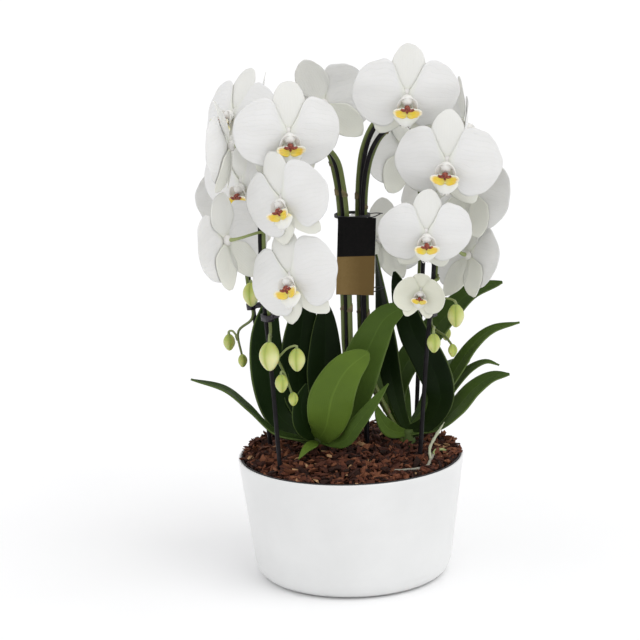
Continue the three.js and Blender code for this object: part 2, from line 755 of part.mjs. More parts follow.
// Ties: a band of plastic string round the bundle, with its two cut ends standing out
function tieSolid(height, turn) {
  const inner = TIE_RADIUS;
  const band = [
    [inner, height - 2.2],
    [inner + TIE_THICKNESS, height - 2.2],
    [inner + TIE_THICKNESS, height + 2.2],
    [inner, height + 2.2],
    [inner, height - 2.2],
  ];
  const ends = [0, 1].map((side) => {
    const end = new THREE.CylinderGeometry(0.9, 0.9, 14, 5).rotateZ(Math.PI / 2 + 0.4);
    end.translate(inner + 7, 0, side * 3 - 1.5);
    return solidOf(end.rotateZ(degrees(turn + side * 14)).translate(0, 0, height));
  });
  return joined([lathe(band, 12), ...ends]).translate([BUNDLE.x, BUNDLE.y, 0]);
}

// The tag: a plain card that hangs before the bundle
function tagSolid() {
  const { width, height, thickness } = TAG_SIZE;
  const back = BUNDLE.y - TIE_RADIUS - TIE_THICKNESS - SEAT_GAP;
  const card = new THREE.BoxGeometry(width, thickness, height).rotateY(degrees(3));
  return solidOf(card.translate(BUNDLE.x + 2.4, back - thickness / 2, 340));
}

// An aerial root that lies on the bark, with a branch that rises to a free tip and one that dips again
const ROOT_RADIUS = 1.7;

function rootSolid(radius) {
  const lying = [[41, -78, 130.4], [57, -76, 130], [74, -68, 129.4], [81, -46, 131.2], [84, -35, 132.6]];
  const rising = [
    [81, -46, 131.2], [80.6, -35, 134.3], [81.3, -29, 139.2],
    [87, -22, 147.7], [92, -17, 154], [97.5, -12, 161],
  ];
  const dipping = [[84, -35, 132.6], [88, -22, 134], [97, -13, 131], [101, -10, 127]];
  const parts = [lying, rising, dipping].map((places) => {
    const curve = new THREE.CatmullRomCurve3(places.map((place) => vector(...place)));
    return rod(curve, () => radius, 4, 8);
  });
  return joined(parts);
}

// Assembly
const hoopSolids = {};
for (const name of Object.keys(HOOPS)) {
  hoopSolids[name] = rod(hoopCurve(HOOPS[name]), () => HOOP_RADIUS, 5, HOOP_STEPS);
  addPiece(`hoop_${name}`, hoopSolids[name], "wire");
}

const sprays = {};
for (const name of Object.keys(STEMS)) {
  sprays[name] = spraySolid(name);
  addPiece(`spray_${name}`, sprays[name], "stem");
}

BLOOMS.forEach((bloom, index) => {
  addPiece(`bloom_${bloom.name}`, bloomSolid(bloom, index), "bloom");
  addPiece(`lip_${bloom.name}`, lipSolid(bloom), "lip");
});

// What stands in a plant or in the bark stands in a hole with a little room round it
const stemSockets = Object.keys(STEMS).map((name) =>
  rod(stemCurve(name), () => STEM_RADIUS + SEAT_GAP, 5, STEM_STEPS),
);
const hoopSockets = Object.keys(HOOPS).map((name) =>
  rod(hoopCurve(HOOPS[name]), () => HOOP_RADIUS + SEAT_GAP, 5, HOOP_STEPS),
);

const rootSocket = rootSolid(ROOT_RADIUS + SEAT_GAP);
const plants = Object.entries(PLANTS).map(([side, plant]) => {
  const solid = plantSolid(plant).subtract(joined([...stemSockets, rootSocket]));
  addPiece(`plant_${side}`, solid, "leaf");
  return solid;
});

const crownSockets = Object.values(PLANTS).map((plant) => {
  const radius = CROWN.radius + SEAT_GAP;
  const socket = new THREE.CylinderGeometry(radius, radius, 60, 8).rotateX(Math.PI / 2);
  return solidOf(socket.translate(...plant.crown, CROWN.bottom - SEAT_GAP + 30));
});
const root = rootSolid(ROOT_RADIUS);
const barkHoles = joined([...hoopSockets, ...crownSockets, rootSocket]);
addPiece("bark", bark(joined(plants)).subtract(barkHoles), "bark");

addPiece("liner", liner(), "liner");
addPiece("pot", pot(), "pot");
for (const name of Object.keys(CLIP_HEIGHTS)) addPiece(`clip_${name}`, clipSolid(name), "clip");
addPiece("tie_upper", tieSolid(379, -25), "tie");
addPiece("tie_lower", tieSolid(301, -12), "tie");
addPiece("tag", tagSolid(), "tag");
addPiece("aerial_root", root, "root");

export default orchid;
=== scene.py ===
# A potted moth orchid: four flower stems tied to bent wire hoops, cascades of white blooms with
# yellow lips, two leafy plants in bark chips, and a round white pot with a dark inner pot.
# Places are given in millimetres and become metres when a piece is finished. +Z is up, the origin is
# the middle of the pot's foot, and the front faces -Y.

import math
import random

import bmesh
import bpy
from mathutils import Matrix, Vector, noise


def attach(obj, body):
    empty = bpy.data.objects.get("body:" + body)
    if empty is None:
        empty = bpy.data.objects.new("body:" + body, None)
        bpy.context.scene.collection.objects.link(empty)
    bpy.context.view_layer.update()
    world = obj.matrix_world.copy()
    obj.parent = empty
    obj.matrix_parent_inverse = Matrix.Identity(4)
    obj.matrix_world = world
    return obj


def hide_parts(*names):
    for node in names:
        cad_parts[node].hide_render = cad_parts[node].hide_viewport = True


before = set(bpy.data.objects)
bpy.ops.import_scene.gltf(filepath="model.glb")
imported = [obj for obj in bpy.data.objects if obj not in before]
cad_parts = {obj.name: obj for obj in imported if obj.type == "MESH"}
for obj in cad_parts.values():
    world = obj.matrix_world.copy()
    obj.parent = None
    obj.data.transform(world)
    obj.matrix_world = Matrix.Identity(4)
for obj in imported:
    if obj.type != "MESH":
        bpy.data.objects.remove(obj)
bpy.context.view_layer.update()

MM = 0.001
UP = Vector((0, 0, 1))

# The pot and its filling
POT_RIM_RADIUS = 117.5
POT_WALL_FOOT_RADIUS = 101
POT_HEIGHT = 127
POT_WALL = 3
POT_FOOT_CURVE = [(84, 0, 0), (91, 0, 1), (97, 0, 4.6), (100.6, 0, 10)]
LINER_WALL = 1.2
LINER_HEIGHT = 127.6
LINER_LIP = 0.4
LINER_FLOOR = (74, 3.4)
LINER_CORNER = (91, 15)
SEAT_GAP = 0.3
BARK_EDGE_HEIGHT = 124.4
BARK_CROWN_RISE = 13.6
BARK_FLOOR = (70, 7)
CHIP_COUNT = 2400
CHIP_SEED = 7
CHIP_SHAPES = 12
CHIP_POINTS = 11
RIM_CHIP_SHARE = 0.16

# Hoops: the way each arches, its widest reach from the bundle, where it lands and its height
BUNDLE = (8, -1)
BUNDLE_RADIUS = 11
HOOPS = {
    "front_left": {"turn": 217, "reach": 116, "foot": 99, "top": 470},
    "back_left": {"turn": 165, "reach": 115, "foot": 92, "top": 474},
    "front_right": {"turn": -29, "reach": 92, "foot": 68, "top": 475},
    "back_right": {"turn": 38, "reach": 96, "foot": 76, "top": 481},
}
HOOP_FOOT_DEPTH = 92
HOOP_RADIUS = 2.3

# Flower stems
STEM_RADIUS = 2.6
STEM_TIP_RADIUS = 1.2
PEDICEL_RADIUS = 1.5
STEM_OFFSET = 5.9
STEM_JOINS_BUNDLE = 0.16
STEM_NODES = (0.07, 0.15, 0.24, 0.33, 0.42)


def bloom(name, at, place, yaw, pitch, lean, scale=1, bow=9):
    """A bloom by its stem, the place where its two petals part, and the way it faces and leans."""
    return {
        "name": name,
        "stem": name[:-2],
        "at": at,
        "place": place,
        "yaw": yaw,
        "pitch": pitch,
        "lean": lean,
        "scale": scale,
        "bow": bow,
    }


BLOOMS = [
    bloom("front_right_1", 0.56, (64, -63, 514), yaw=4, pitch=-15, lean=-4),
    bloom("front_right_2", 0.62, (101, -80, 449), yaw=-14, pitch=-6, lean=-2),
    bloom("front_right_3", 0.75, (79, -86, 379), yaw=4, pitch=-14, lean=-3, scale=0.88),
    bloom("front_right_4", 0.86, (73, -82, 319), yaw=-8, pitch=-10, lean=-8, scale=0.58, bow=-34),
    bloom("front_right_5", 0.65, (130, -26, 409), yaw=140, pitch=-14, lean=4, scale=0.98),
    bloom("front_right_6", 0.77, (125, -29, 344), yaw=128, pitch=-12, lean=-6, scale=0.93),
    bloom("back_right_1", 0.6, (125, 32, 470), yaw=98, pitch=-4, lean=6),
    bloom("back_right_2", 0.62, (66, 79, 438), yaw=206, pitch=-8, lean=4),
    bloom("back_right_3", 0.74, (115, 97, 385), yaw=164, pitch=-12, lean=-8),
    bloom("back_right_4", 0.84, (39, 81, 342), yaw=194, pitch=-12, lean=6, scale=0.9),
    bloom("front_left_1", 0.54, (-53, -87, 483), yaw=12, pitch=-8, lean=-2),
    bloom("front_left_2", 0.66, (-63, -108, 421), yaw=-36, pitch=-2, lean=20, scale=0.95),
    bloom("front_left_3", 0.79, (-57, -104, 344), yaw=-36, pitch=3, lean=20),
    bloom("front_left_4", 0.6, (-113, -62, 467), yaw=-98, pitch=-4, lean=4, bow=-12),
    bloom("front_left_5", 0.74, (-120, -62, 373), yaw=-130, pitch=-8, lean=-10),
    bloom("back_left_1", 0.47, (-20, 49, 492), yaw=174, pitch=-4, lean=-24),
    bloom("back_left_2", 0.6, (-84, 78, 474), yaw=-94, pitch=-4, lean=4),
    bloom("back_left_3", 0.57, (-108, 19, 490), yaw=-50, pitch=22, lean=2),
    bloom("back_left_4", 0.69, (-104, -12, 423), yaw=-34, pitch=-8, lean=6),
    bloom("back_left_5", 0.76, (-103, 88, 390), yaw=190, pitch=-12, lean=6),
]

# Tepals: where each starts, its length and width, how far its layer stands forward, its outline from
# the narrow claw to the tip, its pleats, and the faces across and along it. The angle is its direction.
PETAL = {"start": 1.5, "length": 52, "width": 67, "layer": 1.1, "claw": 0.5, "opens": 0.26,
         "shoulder": 0.1, "point": 0.2, "pleat": 0.5, "pleats": 3, "across": 30, "along": 30}
DORSAL_SEPAL = {"start": 2, "length": 47, "width": 34, "layer": -0.7, "claw": 0.5, "opens": 0.42,
                "shoulder": 0, "point": 0.1, "pleat": 0.16, "pleats": 2, "across": 20, "along": 24}
LATERAL_SEPAL = {"start": 2, "length": 49, "width": 32, "layer": -0.9, "claw": 0.5, "opens": 0.42,
                 "shoulder": 0, "point": 0.24, "pleat": 0.16, "pleats": 2, "across": 20, "along": 24}
TEPALS = [
    {**PETAL, "angle": -4, "green": 0},
    {**PETAL, "angle": 184, "green": 0},
    {**DORSAL_SEPAL, "angle": 90, "green": 0.1},
    {**LATERAL_SEPAL, "angle": -61, "green": 0.25},
    {**LATERAL_SEPAL, "angle": -119, "green": 0.25},
]
YOUNG_BLOOM = "front_right_4"
YOUNG_BLOOM_TONE = 0.4
BLOOM_REACH = 52
BLOOM_WAVE = 1.8
CUP_DRAWS_IN = 0.005
TEPAL_THICKNESS = 0.7
LOBE_THICKNESS = 0.9
HUB_DROP = 5
HUB_DEPTH = 5

# Stems: where each leaves the bark, the height at which it leaves its wire, the way its tip hangs, and
# its buds by their share of the stem, place and half width
STEMS = {
    "front_left": {
        "root": (-32, -12, 128),
        "free": 279,
        "tip": [(-78, -84, 266), (-66, -90, 240), (-57.5, -91, 215)],
        "buds": [
            (0.9, (-79, -94, 256), 10.4),
            (0.94, (-52, -95, 252), 8.4),
            (0.975, (-68, -98, 229), 6.6),
            (1, (-57, -91, 211), 5),
        ],
    },
    "back_left": {
        "root": (-36, -6.5, 128),
        "free": 270,
        "tip": [(-114, 36, 252), (-110.5, 25, 229)],
        "buds": [(0.88, (-98, 12, 297), 9), (0.97, (-124, 42, 240), 6.4), (1, (-110, 24, 224), 5)],
    },
    "front_right": {
        "root": (58, 7, 128),
        "free": 270,
        "tip": [(98, -58, 262), (103, -66, 256)],
        "buds": [(0.9, (108, -64, 285), 8.4), (0.95, (85, -70, 259), 7), (1, (104, -67, 250), 4.8)],
    },
    "back_right": {
        "root": (60.5, 13, 128),
        "free": 274,
        "tip": [(82, 66, 258), (94, 74, 247), (105, 78, 239)],
        "buds": [(0.93, (88, 84, 262), 7.4), (1, (106, 78, 234), 5.4)],
    },
}


def leaf(width, through, face, tone=0.5):
    """A leaf by the places that its midrib runs through, the ways that its upper side looks, and its tone
    from near black to fresh green; the near-black tones are partly the leaf's own deep green and partly
    painted shade on leaves deep in the plant.
    """
    return {"width": width, "through": through, "face": face, "tone": tone}


# Each leaf's last number is its tone. The low, near-black tones on the leaves inside the plants are
# partly their own deep green and partly painted shade.
PLANTS = {
    "left": {
        "crown": (-34, -10),
        "leaves": [
            leaf(24, [(-78, -25, 159), (-104, -35, 188), (-127, -40, 210), (-161, -42, 222)],
                 [(0.5, -0.1, 1), (0.2, -0.25, 1)], 0.45),
            leaf(54, [(-72, -4, 168), (-83, 0, 210), (-86, 4, 252), (-79, 8, 292)],
                 [(1, -0.9, 0.3), (0.7, -1, 0.1)], 0.15),
            leaf(50, [(-51, 14, 185), (-50, 22, 237), (-42, 28, 292)],
                 [(0.4, -1, 0.3), (0.3, -1, 0.1)], 0.1),
            leaf(42, [(-27, 6, 180), (-24, 16, 230), (-22, 22, 284)],
                 [(0.1, -1, 0.2), (0, -1, 0.1)], 0.1),
            leaf(26, [(-47, -26, 164), (-50, -32, 189), (-44, -34, 212)],
                 [(0.5, -1, 0.2), (0.2, -1, 0.1)], 0.2),
            leaf(52, [(-25, -40, 168), (-17, -54, 205), (-2, -60, 232), (20, -60, 249)],
                 [(0.1, -1, 0.4), (-0.05, -1, 0.3)], 0.9),
            leaf(48, [(-4, -22, 178), (10, -34, 222), (24, -38, 255), (38, -40, 279), (59, -42, 292)],
                 [(-0.2, -1, 0.3), (-0.3, -1, 0.3)], 0.7),
            leaf(20, [(-8, -36, 150), (6, -48, 170), (20, -56, 190), (39, -60, 216)],
                 [(-0.4, -1, 0.6), (-0.5, -1, 0.4)], 0.7),
            leaf(13, [(-40, -34, 147), (-46, -46, 146), (-54, -58, 139)],
                 [(0.2, -0.6, 1), (0.2, -0.6, 1)], 0.9),
            leaf(44, [(-62, 38, 172), (-82, 74, 206), (-100, 112, 210)],
                 [(0.4, -0.3, 1), (0.3, -0.2, 1)], 0.5),
            leaf(46, [(-34, 34, 170), (-36, 66, 210), (-40, 112, 226)],
                 [(0, -0.5, 1), (0, -0.4, 1)], 0.6),
        ],
    },
    "right": {
        "crown": (60, 10),
        "leaves": [
            leaf(40, [(82, 0, 158), (94, -8, 182), (92, -12, 204), (82, -10, 229), (69, -5, 253),
                      (60, 2, 279), (50, 10, 317)],
                 [(-0.3, -1, 0.2), (-0.3, -1, 0.1), (-0.3, -1, -0.1)], 0.05),
            leaf(30, [(52, 6, 172), (44, 8, 210), (40, 13, 252), (37, 16, 289), (32, 18, 334)],
                 [(0.2, -1, 0.3), (-0.7, -1, 0.1), (-1, -0.4, 0)], 0.1),
            leaf(38, [(50, 24, 175), (58, 31, 207), (82, 37, 237), (107, 39, 265), (131, 38, 287),
                      (163, 32, 298)],
                 [(-0.4, -1, 0.5), (-0.5, -0.8, 0.8), (-0.2, -0.8, 1)], 0.55),
            leaf(24, [(91, 20, 176), (112, 25, 206), (131, 25, 233), (151, 22, 250), (179, 16, 258)],
                 [(-0.6, -0.6, 0.9), (-0.3, -0.7, 1)], 0.65),
            leaf(18, [(92, 34, 164), (112, 40, 188), (130, 40, 205), (146, 38, 212), (159, 36, 208)],
                 [(-0.5, -0.5, 1), (0, -0.6, 1)], 0.6),
            leaf(32, [(92, 4, 154), (112, -2, 173), (130, -5, 194), (148, -6, 206), (166, -8, 209)],
                 [(-0.5, -0.4, 1), (-0.2, -0.7, 1)], 0.6),
            leaf(20, [(48, -4, 150), (38, -14, 158), (31, -17, 170), (27, -17, 184)],
                 [(0.2, -1, 0.4), (0.4, -1, 0.1)], 0.8),
            leaf(42, [(88, 36, 168), (108, 64, 196), (130, 102, 202)],
                 [(-0.3, -0.4, 1), (-0.2, -0.3, 1)], 0.5),
            leaf(44, [(50, 44, 166), (38, 78, 196), (26, 118, 202)],
                 [(0, -0.5, 1), (0, -0.4, 1)], 0.6),
        ],
    },
}
LEAF_KEEL = 0.16
LEAF_THICKNESS = 1.7
LEAF_BASE_HEIGHT = 144.5
LEAF_BASE_SHARE = 0.36
LEAF_TIP_BLUNTNESS = 2.6
CROWN_RADIUS = 11
CROWN_BOTTOM = 98
CROWN_TOP = 149

# Clips, ties and tag
CLIP_HEIGHTS = {"front_left": 290, "back_left": 281, "front_right": 282}
CLIP_BORE = 3.25
CLIP_WALL = 1.6
CLIP_LENGTH = 6.4
CLIP_TAB = (2.4, 8.6, 5)
TIES = {"upper": {"height": 379, "turn": -25}, "lower": {"height": 301, "turn": -12}}
TIE_RADIUS = 17.4
TIE_RISE = 3
TIE_TURNS = 3
TIE_STEPS = 73
STRING_RADIUS = 0.6
TAG_SIZE = (38.5, 0.9, 80)
TAG_MIDDLE = (BUNDLE[0] + 2.4, BUNDLE[1] - 19.6, 340)
TAG_SPLIT_HEIGHT = 340
TAG_TILT = 3

# The aerial root: it lies on the bark, and then one branch rises and one dips
LYING_ROOT = [(41, -78, 130.4), (57, -76, 130), (74, -68, 129.4), (81, -46, 131.2), (84, -35, 132.6)]
RISING_ROOT = [(81, -46, 131.2), (80.6, -35, 134.3), (81.3, -29, 139.2), (87, -22, 147.7), (92, -17, 154),
               (97.5, -12, 161)]
DIPPING_ROOT = [(84, -35, 132.6), (88, -22, 134), (97, -13, 131), (101, -10, 127)]

# The photograph's view, in millimetres and degrees
CAMERA_DISTANCE = 2300
CAMERA_ELEVATION = 12.6
CAMERA_ROLL = 1.7
CAMERA_AIM = (-28, 0, 270.4)
CAMERA_LENS = 125.66
SENSOR_WIDTH = 36

# The studio: an even white surround, and two soft suns by strength, spread and the way they shine
FLOOR_RADIUS = 20000
SURROUND = (0.99, 0.99, 1.0, 1)
SURROUND_STRENGTH = 0.88
SUNS = {
    "key": {"strength": 0.8, "spread": 45, "towards": (-0.45, 0.36, -0.82)},
    "fill": {"strength": 0.1, "spread": 80, "towards": (0.7, 0.5, -0.5)},
}


def mix(a, b, share):
    return a + (b - a) * share


def ease(low, high, value):
    """0 below low, 1 above high, and a smooth rise between."""
    share = min(max((value - low) / (high - low), 0), 1)
    return share * share * (3 - 2 * share)


def level_way(angle):
    return Vector((math.cos(angle), math.sin(angle), 0))


def axes(x, y, z):
    """Turns a shape so that its own x, y and z lie along three ways."""
    return Matrix((x, y, z)).transposed().to_4x4()


def placed(centre, size, turned=Matrix()):
    """Gives a shape of one unit its size, its turn and its place."""
    return Matrix.Translation(centre) @ turned @ Matrix.Diagonal((*size, 1))


# Curves


class Path:
    """A smooth centripetal curve through places, read by the share of its length."""

    STEPS = 16

    def __init__(self, places):
        places = [Vector(place) for place in places]
        ends = [2 * places[0] - places[1], *places, 2 * places[-1] - places[-2]]
        self.points = [places[0]]
        for k in range(len(places) - 1):
            for step in range(1, self.STEPS + 1):
                self.points.append(self.between(ends[k : k + 4], step / self.STEPS))
        self.reached = [0.0]
        for before, after in zip(self.points, self.points[1:]):
            self.reached.append(self.reached[-1] + (after - before).length)
        self.length = self.reached[-1]

    @staticmethod
    def between(four, t):
        a, b, c, d = four
        first, middle, last = (math.sqrt((q - p).length) for p, q in ((a, b), (b, c), (c, d)))
        start = ((b - a) / first - (c - a) / (first + middle) + (c - b) / middle) * middle
        end = ((c - b) / middle - (d - b) / (middle + last) + (d - c) / last) * middle
        rise = -3 * b + 3 * c - 2 * start - end
        turn = 2 * b - 2 * c + start + end
        return b + start * t + rise * t * t + turn * t * t * t

    def at(self, share):
        goal = min(max(share, 0), 1) * self.length
        low, high = 0, len(self.reached) - 1
        while high - low > 1:
            middle = (low + high) // 2
            if self.reached[middle] <= goal:
                low = middle
            else:
                high = middle
        span = self.reached[high] - self.reached[low]
        return self.points[low].lerp(self.points[high], (goal - self.reached[low]) / max(span, 1e-9))

    def heading(self, share):
        return (self.at(min(share + 0.004, 1)) - self.at(max(share - 0.004, 0))).normalized()

    def share_at_height(self, height):
        share = 1.0
        while self.at(share).z < height:
            share -= 0.002
        return share


def bezier_path(start, first, second, end):
    """A path along a cubic curve with two handles."""
    steps = 8
    places = []
    for t in (step / steps for step in range(steps + 1)):
        outer = start * (1 - t) ** 3 + end * t**3
        places.append(outer + (first * (1 - t) + second * t) * 3 * t * (1 - t))
    return Path(places)


def hoop_ways(name):
    """The way that a hoop arches, and the level way across it."""
    outward = level_way(math.radians(HOOPS[name]["turn"]))
    return outward, UP.cross(outward)


def hoop_path(name):
    """Up in the bundle, over the arch and down into the bark, by distance from the bundle and height."""
    outward, _ = hoop_ways(name)
    hoop = HOOPS[name]
    top, reach, foot = hoop["top"], hoop["reach"], hoop["foot"]
    profile = [
        (BUNDLE_RADIUS, HOOP_FOOT_DEPTH),
        (BUNDLE_RADIUS, 220),
        (BUNDLE_RADIUS, 330),
        (BUNDLE_RADIUS + 1, 388),
        (BUNDLE_RADIUS + 6, top - 48),
        (BUNDLE_RADIUS + 15, top - 24),
        (0.43 * reach, top - 8),
        (0.66 * reach, top),
        (0.88 * reach, top - 16),
        (0.98 * reach, top - 64),
        (reach, top - 130),
        (0.55 * reach + 0.45 * foot, 240),
        (foot, HOOP_FOOT_DEPTH),
    ]
    return Path([Vector((*BUNDLE, height)) + outward * radius for radius, height in profile])


def stem_path(name):
    """From the bark to the bundle, along the hoop's side, and then free to the hanging tip."""
    stem = STEMS[name]
    _, sideways = hoop_ways(name)
    along = HOOP_PATHS[name]
    end = along.share_at_height(stem["free"])
    samples = 18
    places = [stem["root"]]
    for i in range(samples + 1):
        places.append(along.at(mix(STEM_JOINS_BUNDLE, end, i / samples)) + sideways * STEM_OFFSET)
    return Path(places + stem["tip"])


HOOP_PATHS = {name: hoop_path(name) for name in HOOPS}
STEM_PATHS = {name: stem_path(name) for name in STEMS}


# Shapes in a bmesh, in millimetres


def new_mesh():
    mesh = bmesh.new()
    mesh.loops.layers.uv.new("UVMap")
    mesh.verts.layers.float.new("tone")
    return mesh


def new_object(name, mesh, materials):
    """An object in metres from a bmesh in millimetres."""
    data = bpy.data.meshes.new(name)
    mesh.to_mesh(data)
    mesh.free()
    data.transform(Matrix.Scale(MM, 4))
    for material in materials:
        data.materials.append(material)
    made = bpy.data.objects.new(name, data)
    bpy.context.collection.objects.link(made)
    return made


def finish_piece(name, mesh, materials, nodes, smooth=True):
    """Turns a bmesh in millimetres into a piece of the object that stands for CAD nodes."""
    piece = new_object(name, mesh, materials)
    if smooth:
        piece.data.shade_smooth()
    else:
        piece.data.shade_flat()
    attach(piece, "root")
    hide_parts(*nodes)


# The order of the materials on a bloom, on its lip and on a stem
TEPAL, HOOD = range(2)
LOBE, TONGUE, CALLUS, COLLAR = range(4)
STEM, BUD, BRACT = range(3)


def verts_in(parts):
    return [part for part in parts if isinstance(part, bmesh.types.BMVert)]


def edges_of(verts):
    return list({edge for vert in verts for edge in vert.link_edges})


def faces_of(verts):
    return list({face for vert in verts for face in vert.link_faces})


def tone_by(mesh, verts, tone_at):
    """Gives each point the tone that tone_at says, which the materials read."""
    layer = mesh.verts.layers.float["tone"]
    for vert in verts:
        vert[layer] = tone_at(vert)


def paint(mesh, verts, tone, material=0):
    """Gives the points one tone, and their faces a material."""
    tone_by(mesh, verts, lambda vert: tone)
    for face in faces_of(verts):
        face.material_index = material


def rod(mesh, path, radius_at, sides, steps, tone=0.5, material=0):
    """A round rod along a path, made by drawing a ring along it. radius_at goes from 0 to 1."""
    heading = path.heading(0)
    side = heading.orthogonal().normalized()
    places = []
    for i in range(steps + 1):
        share = i / steps
        heading = path.heading(share)
        side = (side - heading * side.dot(heading)).normalized()
        turned = axes(side, heading.cross(side), heading)
        places.append(placed(path.at(share), [radius_at(share)] * 3, turned))
    disc = bmesh.ops.create_circle(mesh, cap_ends=True, segments=sides, radius=1, matrix=places[0])
    made = list(disc["verts"])
    edges = edges_of(made)
    for before, after in zip(places, places[1:]):
        grown = bmesh.ops.extrude_edge_only(mesh, edges=edges)["geom"]
        ring = verts_in(grown)
        edges = [part for part in grown if isinstance(part, bmesh.types.BMEdge)]
        bmesh.ops.transform(mesh, matrix=after @ before.inverted(), verts=ring)
        made += ring
    bmesh.ops.contextual_create(mesh, geom=edges)
    bmesh.ops.recalc_face_normals(mesh, faces=faces_of(made))
    paint(mesh, made, tone, material)
    return made


def blade(mesh, surface, across, along, thickness, tone=0.5, material=0):
    """A closed blade round surface(s, t), with s across and t along it, both from -1 to 1."""
    grid = bmesh.ops.create_grid(mesh, x_segments=across, y_segments=along, size=1, calc_uvs=True)
    verts = grid["verts"]
    for vert in verts:
        vert.co = surface(vert.co.x, vert.co.y)
    faces = faces_of(verts)
    mesh.normal_update()
    lifts = [vert.normal * thickness / 2 for vert in verts]
    for vert, lift in zip(verts, lifts):
        vert.co += lift
    made = bmesh.ops.solidify(mesh, geom=faces, thickness=thickness)["geom"]
    verts = list({*verts, *verts_in(made)})
    paint(mesh, verts, tone, material)
    return verts


def ball(mesh, centre, radii, segments=16, rings=10, tone=0.5, material=0):
    """A rounded lump with the given half sizes."""
    made = bmesh.ops.create_uvsphere(
        mesh, u_segments=segments, v_segments=rings, radius=1, matrix=placed(centre, radii)
    )
    paint(mesh, made["verts"], tone, material)
    return made["verts"]


def lathe(profile, sides):
    """A closed round shape, spun from (radius, height) points that start and end on the axis."""
    mesh = new_mesh()
    verts = [mesh.verts.new((radius, 0, height)) for radius, height in profile]
    edges = [mesh.edges.new(pair) for pair in zip(verts, verts[1:])]
    bmesh.ops.spin(
        mesh,
        geom=verts + edges,
        cent=(0, 0, 0),
        axis=UP,
        angle=math.tau,
        steps=sides,
        use_merge=True,
    )
    bmesh.ops.remove_doubles(mesh, verts=mesh.verts, dist=0.001)
    bmesh.ops.recalc_face_normals(mesh, faces=mesh.faces)
    return mesh


def on_disc(s, t):
    """The square from -1 to 1 drawn into a round disc."""
    return s * math.sqrt(1 - t * t / 2), t * math.sqrt(1 - s * s / 2)


# Materials


def add_node(tree, kind, **settings):
    """A shader node, its properties and sockets set by name. A socket's name has _ for a space."""
    node = tree.nodes.new("ShaderNode" + kind)
    for key, value in settings.items():
        socket = node.inputs.get(key.replace("_", " "))
        if socket is not None and key[0].isupper():
            socket.default_value = value
        else:
            setattr(node, key, value)
    return node


def plain_material(name, colour, roughness, **sockets):
    """A material whose constants stand on its shader's own sockets, and its node tree."""
    material = bpy.data.materials.new(name)
    material.use_nodes = True
    shader = material.node_tree.nodes["Principled BSDF"]
    for key, value in {"Base_Color": (*colour, 1), "Roughness": roughness, **sockets}.items():
        shader.inputs[key.replace("_", " ")].default_value = value
    return material, material.node_tree


def dress(tree, colour, relief=None, strength=0.0, distance=0.0, roughness=None):
    """Links a colour, a relief and a roughness to the shader. The relief's distance is in mm."""
    shader = tree.nodes["Principled BSDF"]
    tree.links.new(colour, shader.inputs["Base Color"])
    if relief is not None:
        node = add_node(tree, "Bump", Strength=strength, Distance=distance * MM)
        tree.links.new(relief, node.inputs["Height"])
        tree.links.new(node.outputs["Normal"], shader.inputs["Normal"])
    if roughness is not None:
        tree.links.new(roughness, shader.inputs["Roughness"])


def ramp(tree, factor, stops):
    """A colour ramp through (place, colour) stops, read at a factor. A lone number is a grey."""
    node = add_node(tree, "ValToRGB")
    elements = node.color_ramp.elements
    while len(elements) < len(stops):
        elements.new(0.5)
    for element, (place, colour) in zip(elements, stops):
        element.position = place
        element.color = (*colour, 1) if isinstance(colour, tuple) else (colour, colour, colour, 1)
    tree.links.new(factor, node.inputs["Fac"])
    return node.outputs["Color"]


def blend(tree, factor, first, second, kind="MIX"):
    """A mix of two colours, each a socket or a colour; the factor is a socket or a number."""
    node = add_node(tree, "Mix", data_type="RGBA", blend_type=kind)
    for value, socket in ((factor, node.inputs[0]), (first, node.inputs[6]), (second, node.inputs[7])):
        if isinstance(value, bpy.types.NodeSocket):
            tree.links.new(value, socket)
        else:
            socket.default_value = value if isinstance(value, (int, float)) else (*value, 1)
    return node.outputs[2]


def figure(tree, operation, first, second=0.0):
    """Arithmetic on sockets or numbers."""
    node = add_node(tree, "Math", operation=operation)
    for value, socket in zip((first, second), node.inputs):
        if isinstance(value, bpy.types.NodeSocket):
            tree.links.new(value, socket)
        else:
            socket.default_value = value
    return node.outputs[0]


def plus(tree, first, second):
    return figure(tree, "ADD", first, second)


def times(tree, first, second):
    return figure(tree, "MULTIPLY", first, second)


def object_place(tree):
    return add_node(tree, "TexCoord").outputs["Object"]


def uv_places(tree):
    """The blade's own coordinates: across from 0 to 1, and along from base to tip."""
    parts = add_node(tree, "SeparateXYZ")
    tree.links.new(add_node(tree, "UVMap", uv_map="UVMap").outputs["UV"], parts.inputs[0])
    return parts.outputs[0], parts.outputs[1]


def tone_of(tree):
    return add_node(tree, "Attribute", attribute_name="tone").outputs["Fac"]


def cloud(tree, scale, detail=4, roughness=0.55):
    """Soft noise between 0 and 1, in the object's own space."""
    node = add_node(tree, "TexNoise", Scale=scale, Detail=detail, Roughness=roughness)
    tree.links.new(object_place(tree), node.inputs["Vector"])
    return node.outputs["Fac"]


def uneven(tree, value, wobble, swing, middle=0.5):
    """A value that a cloud lifts and lowers. It stays as it is where the cloud is at its middle."""
    return plus(tree, value, times(tree, figure(tree, "SUBTRACT", wobble, middle), swing))


def stripes(tree, across, count, wander, scale):
    """Thin lines at even places across a blade, which wander a little. 1 on a line and 0 off it."""
    wandering = times(tree, cloud(tree, scale, 2), wander)
    phase = plus(tree, times(tree, across, count), wandering)
    wave = figure(tree, "ABSOLUTE", figure(tree, "SINE", times(tree, phase, math.pi)))
    return figure(tree, "POWER", figure(tree, "SUBTRACT", 1.0, wave), 6.0)


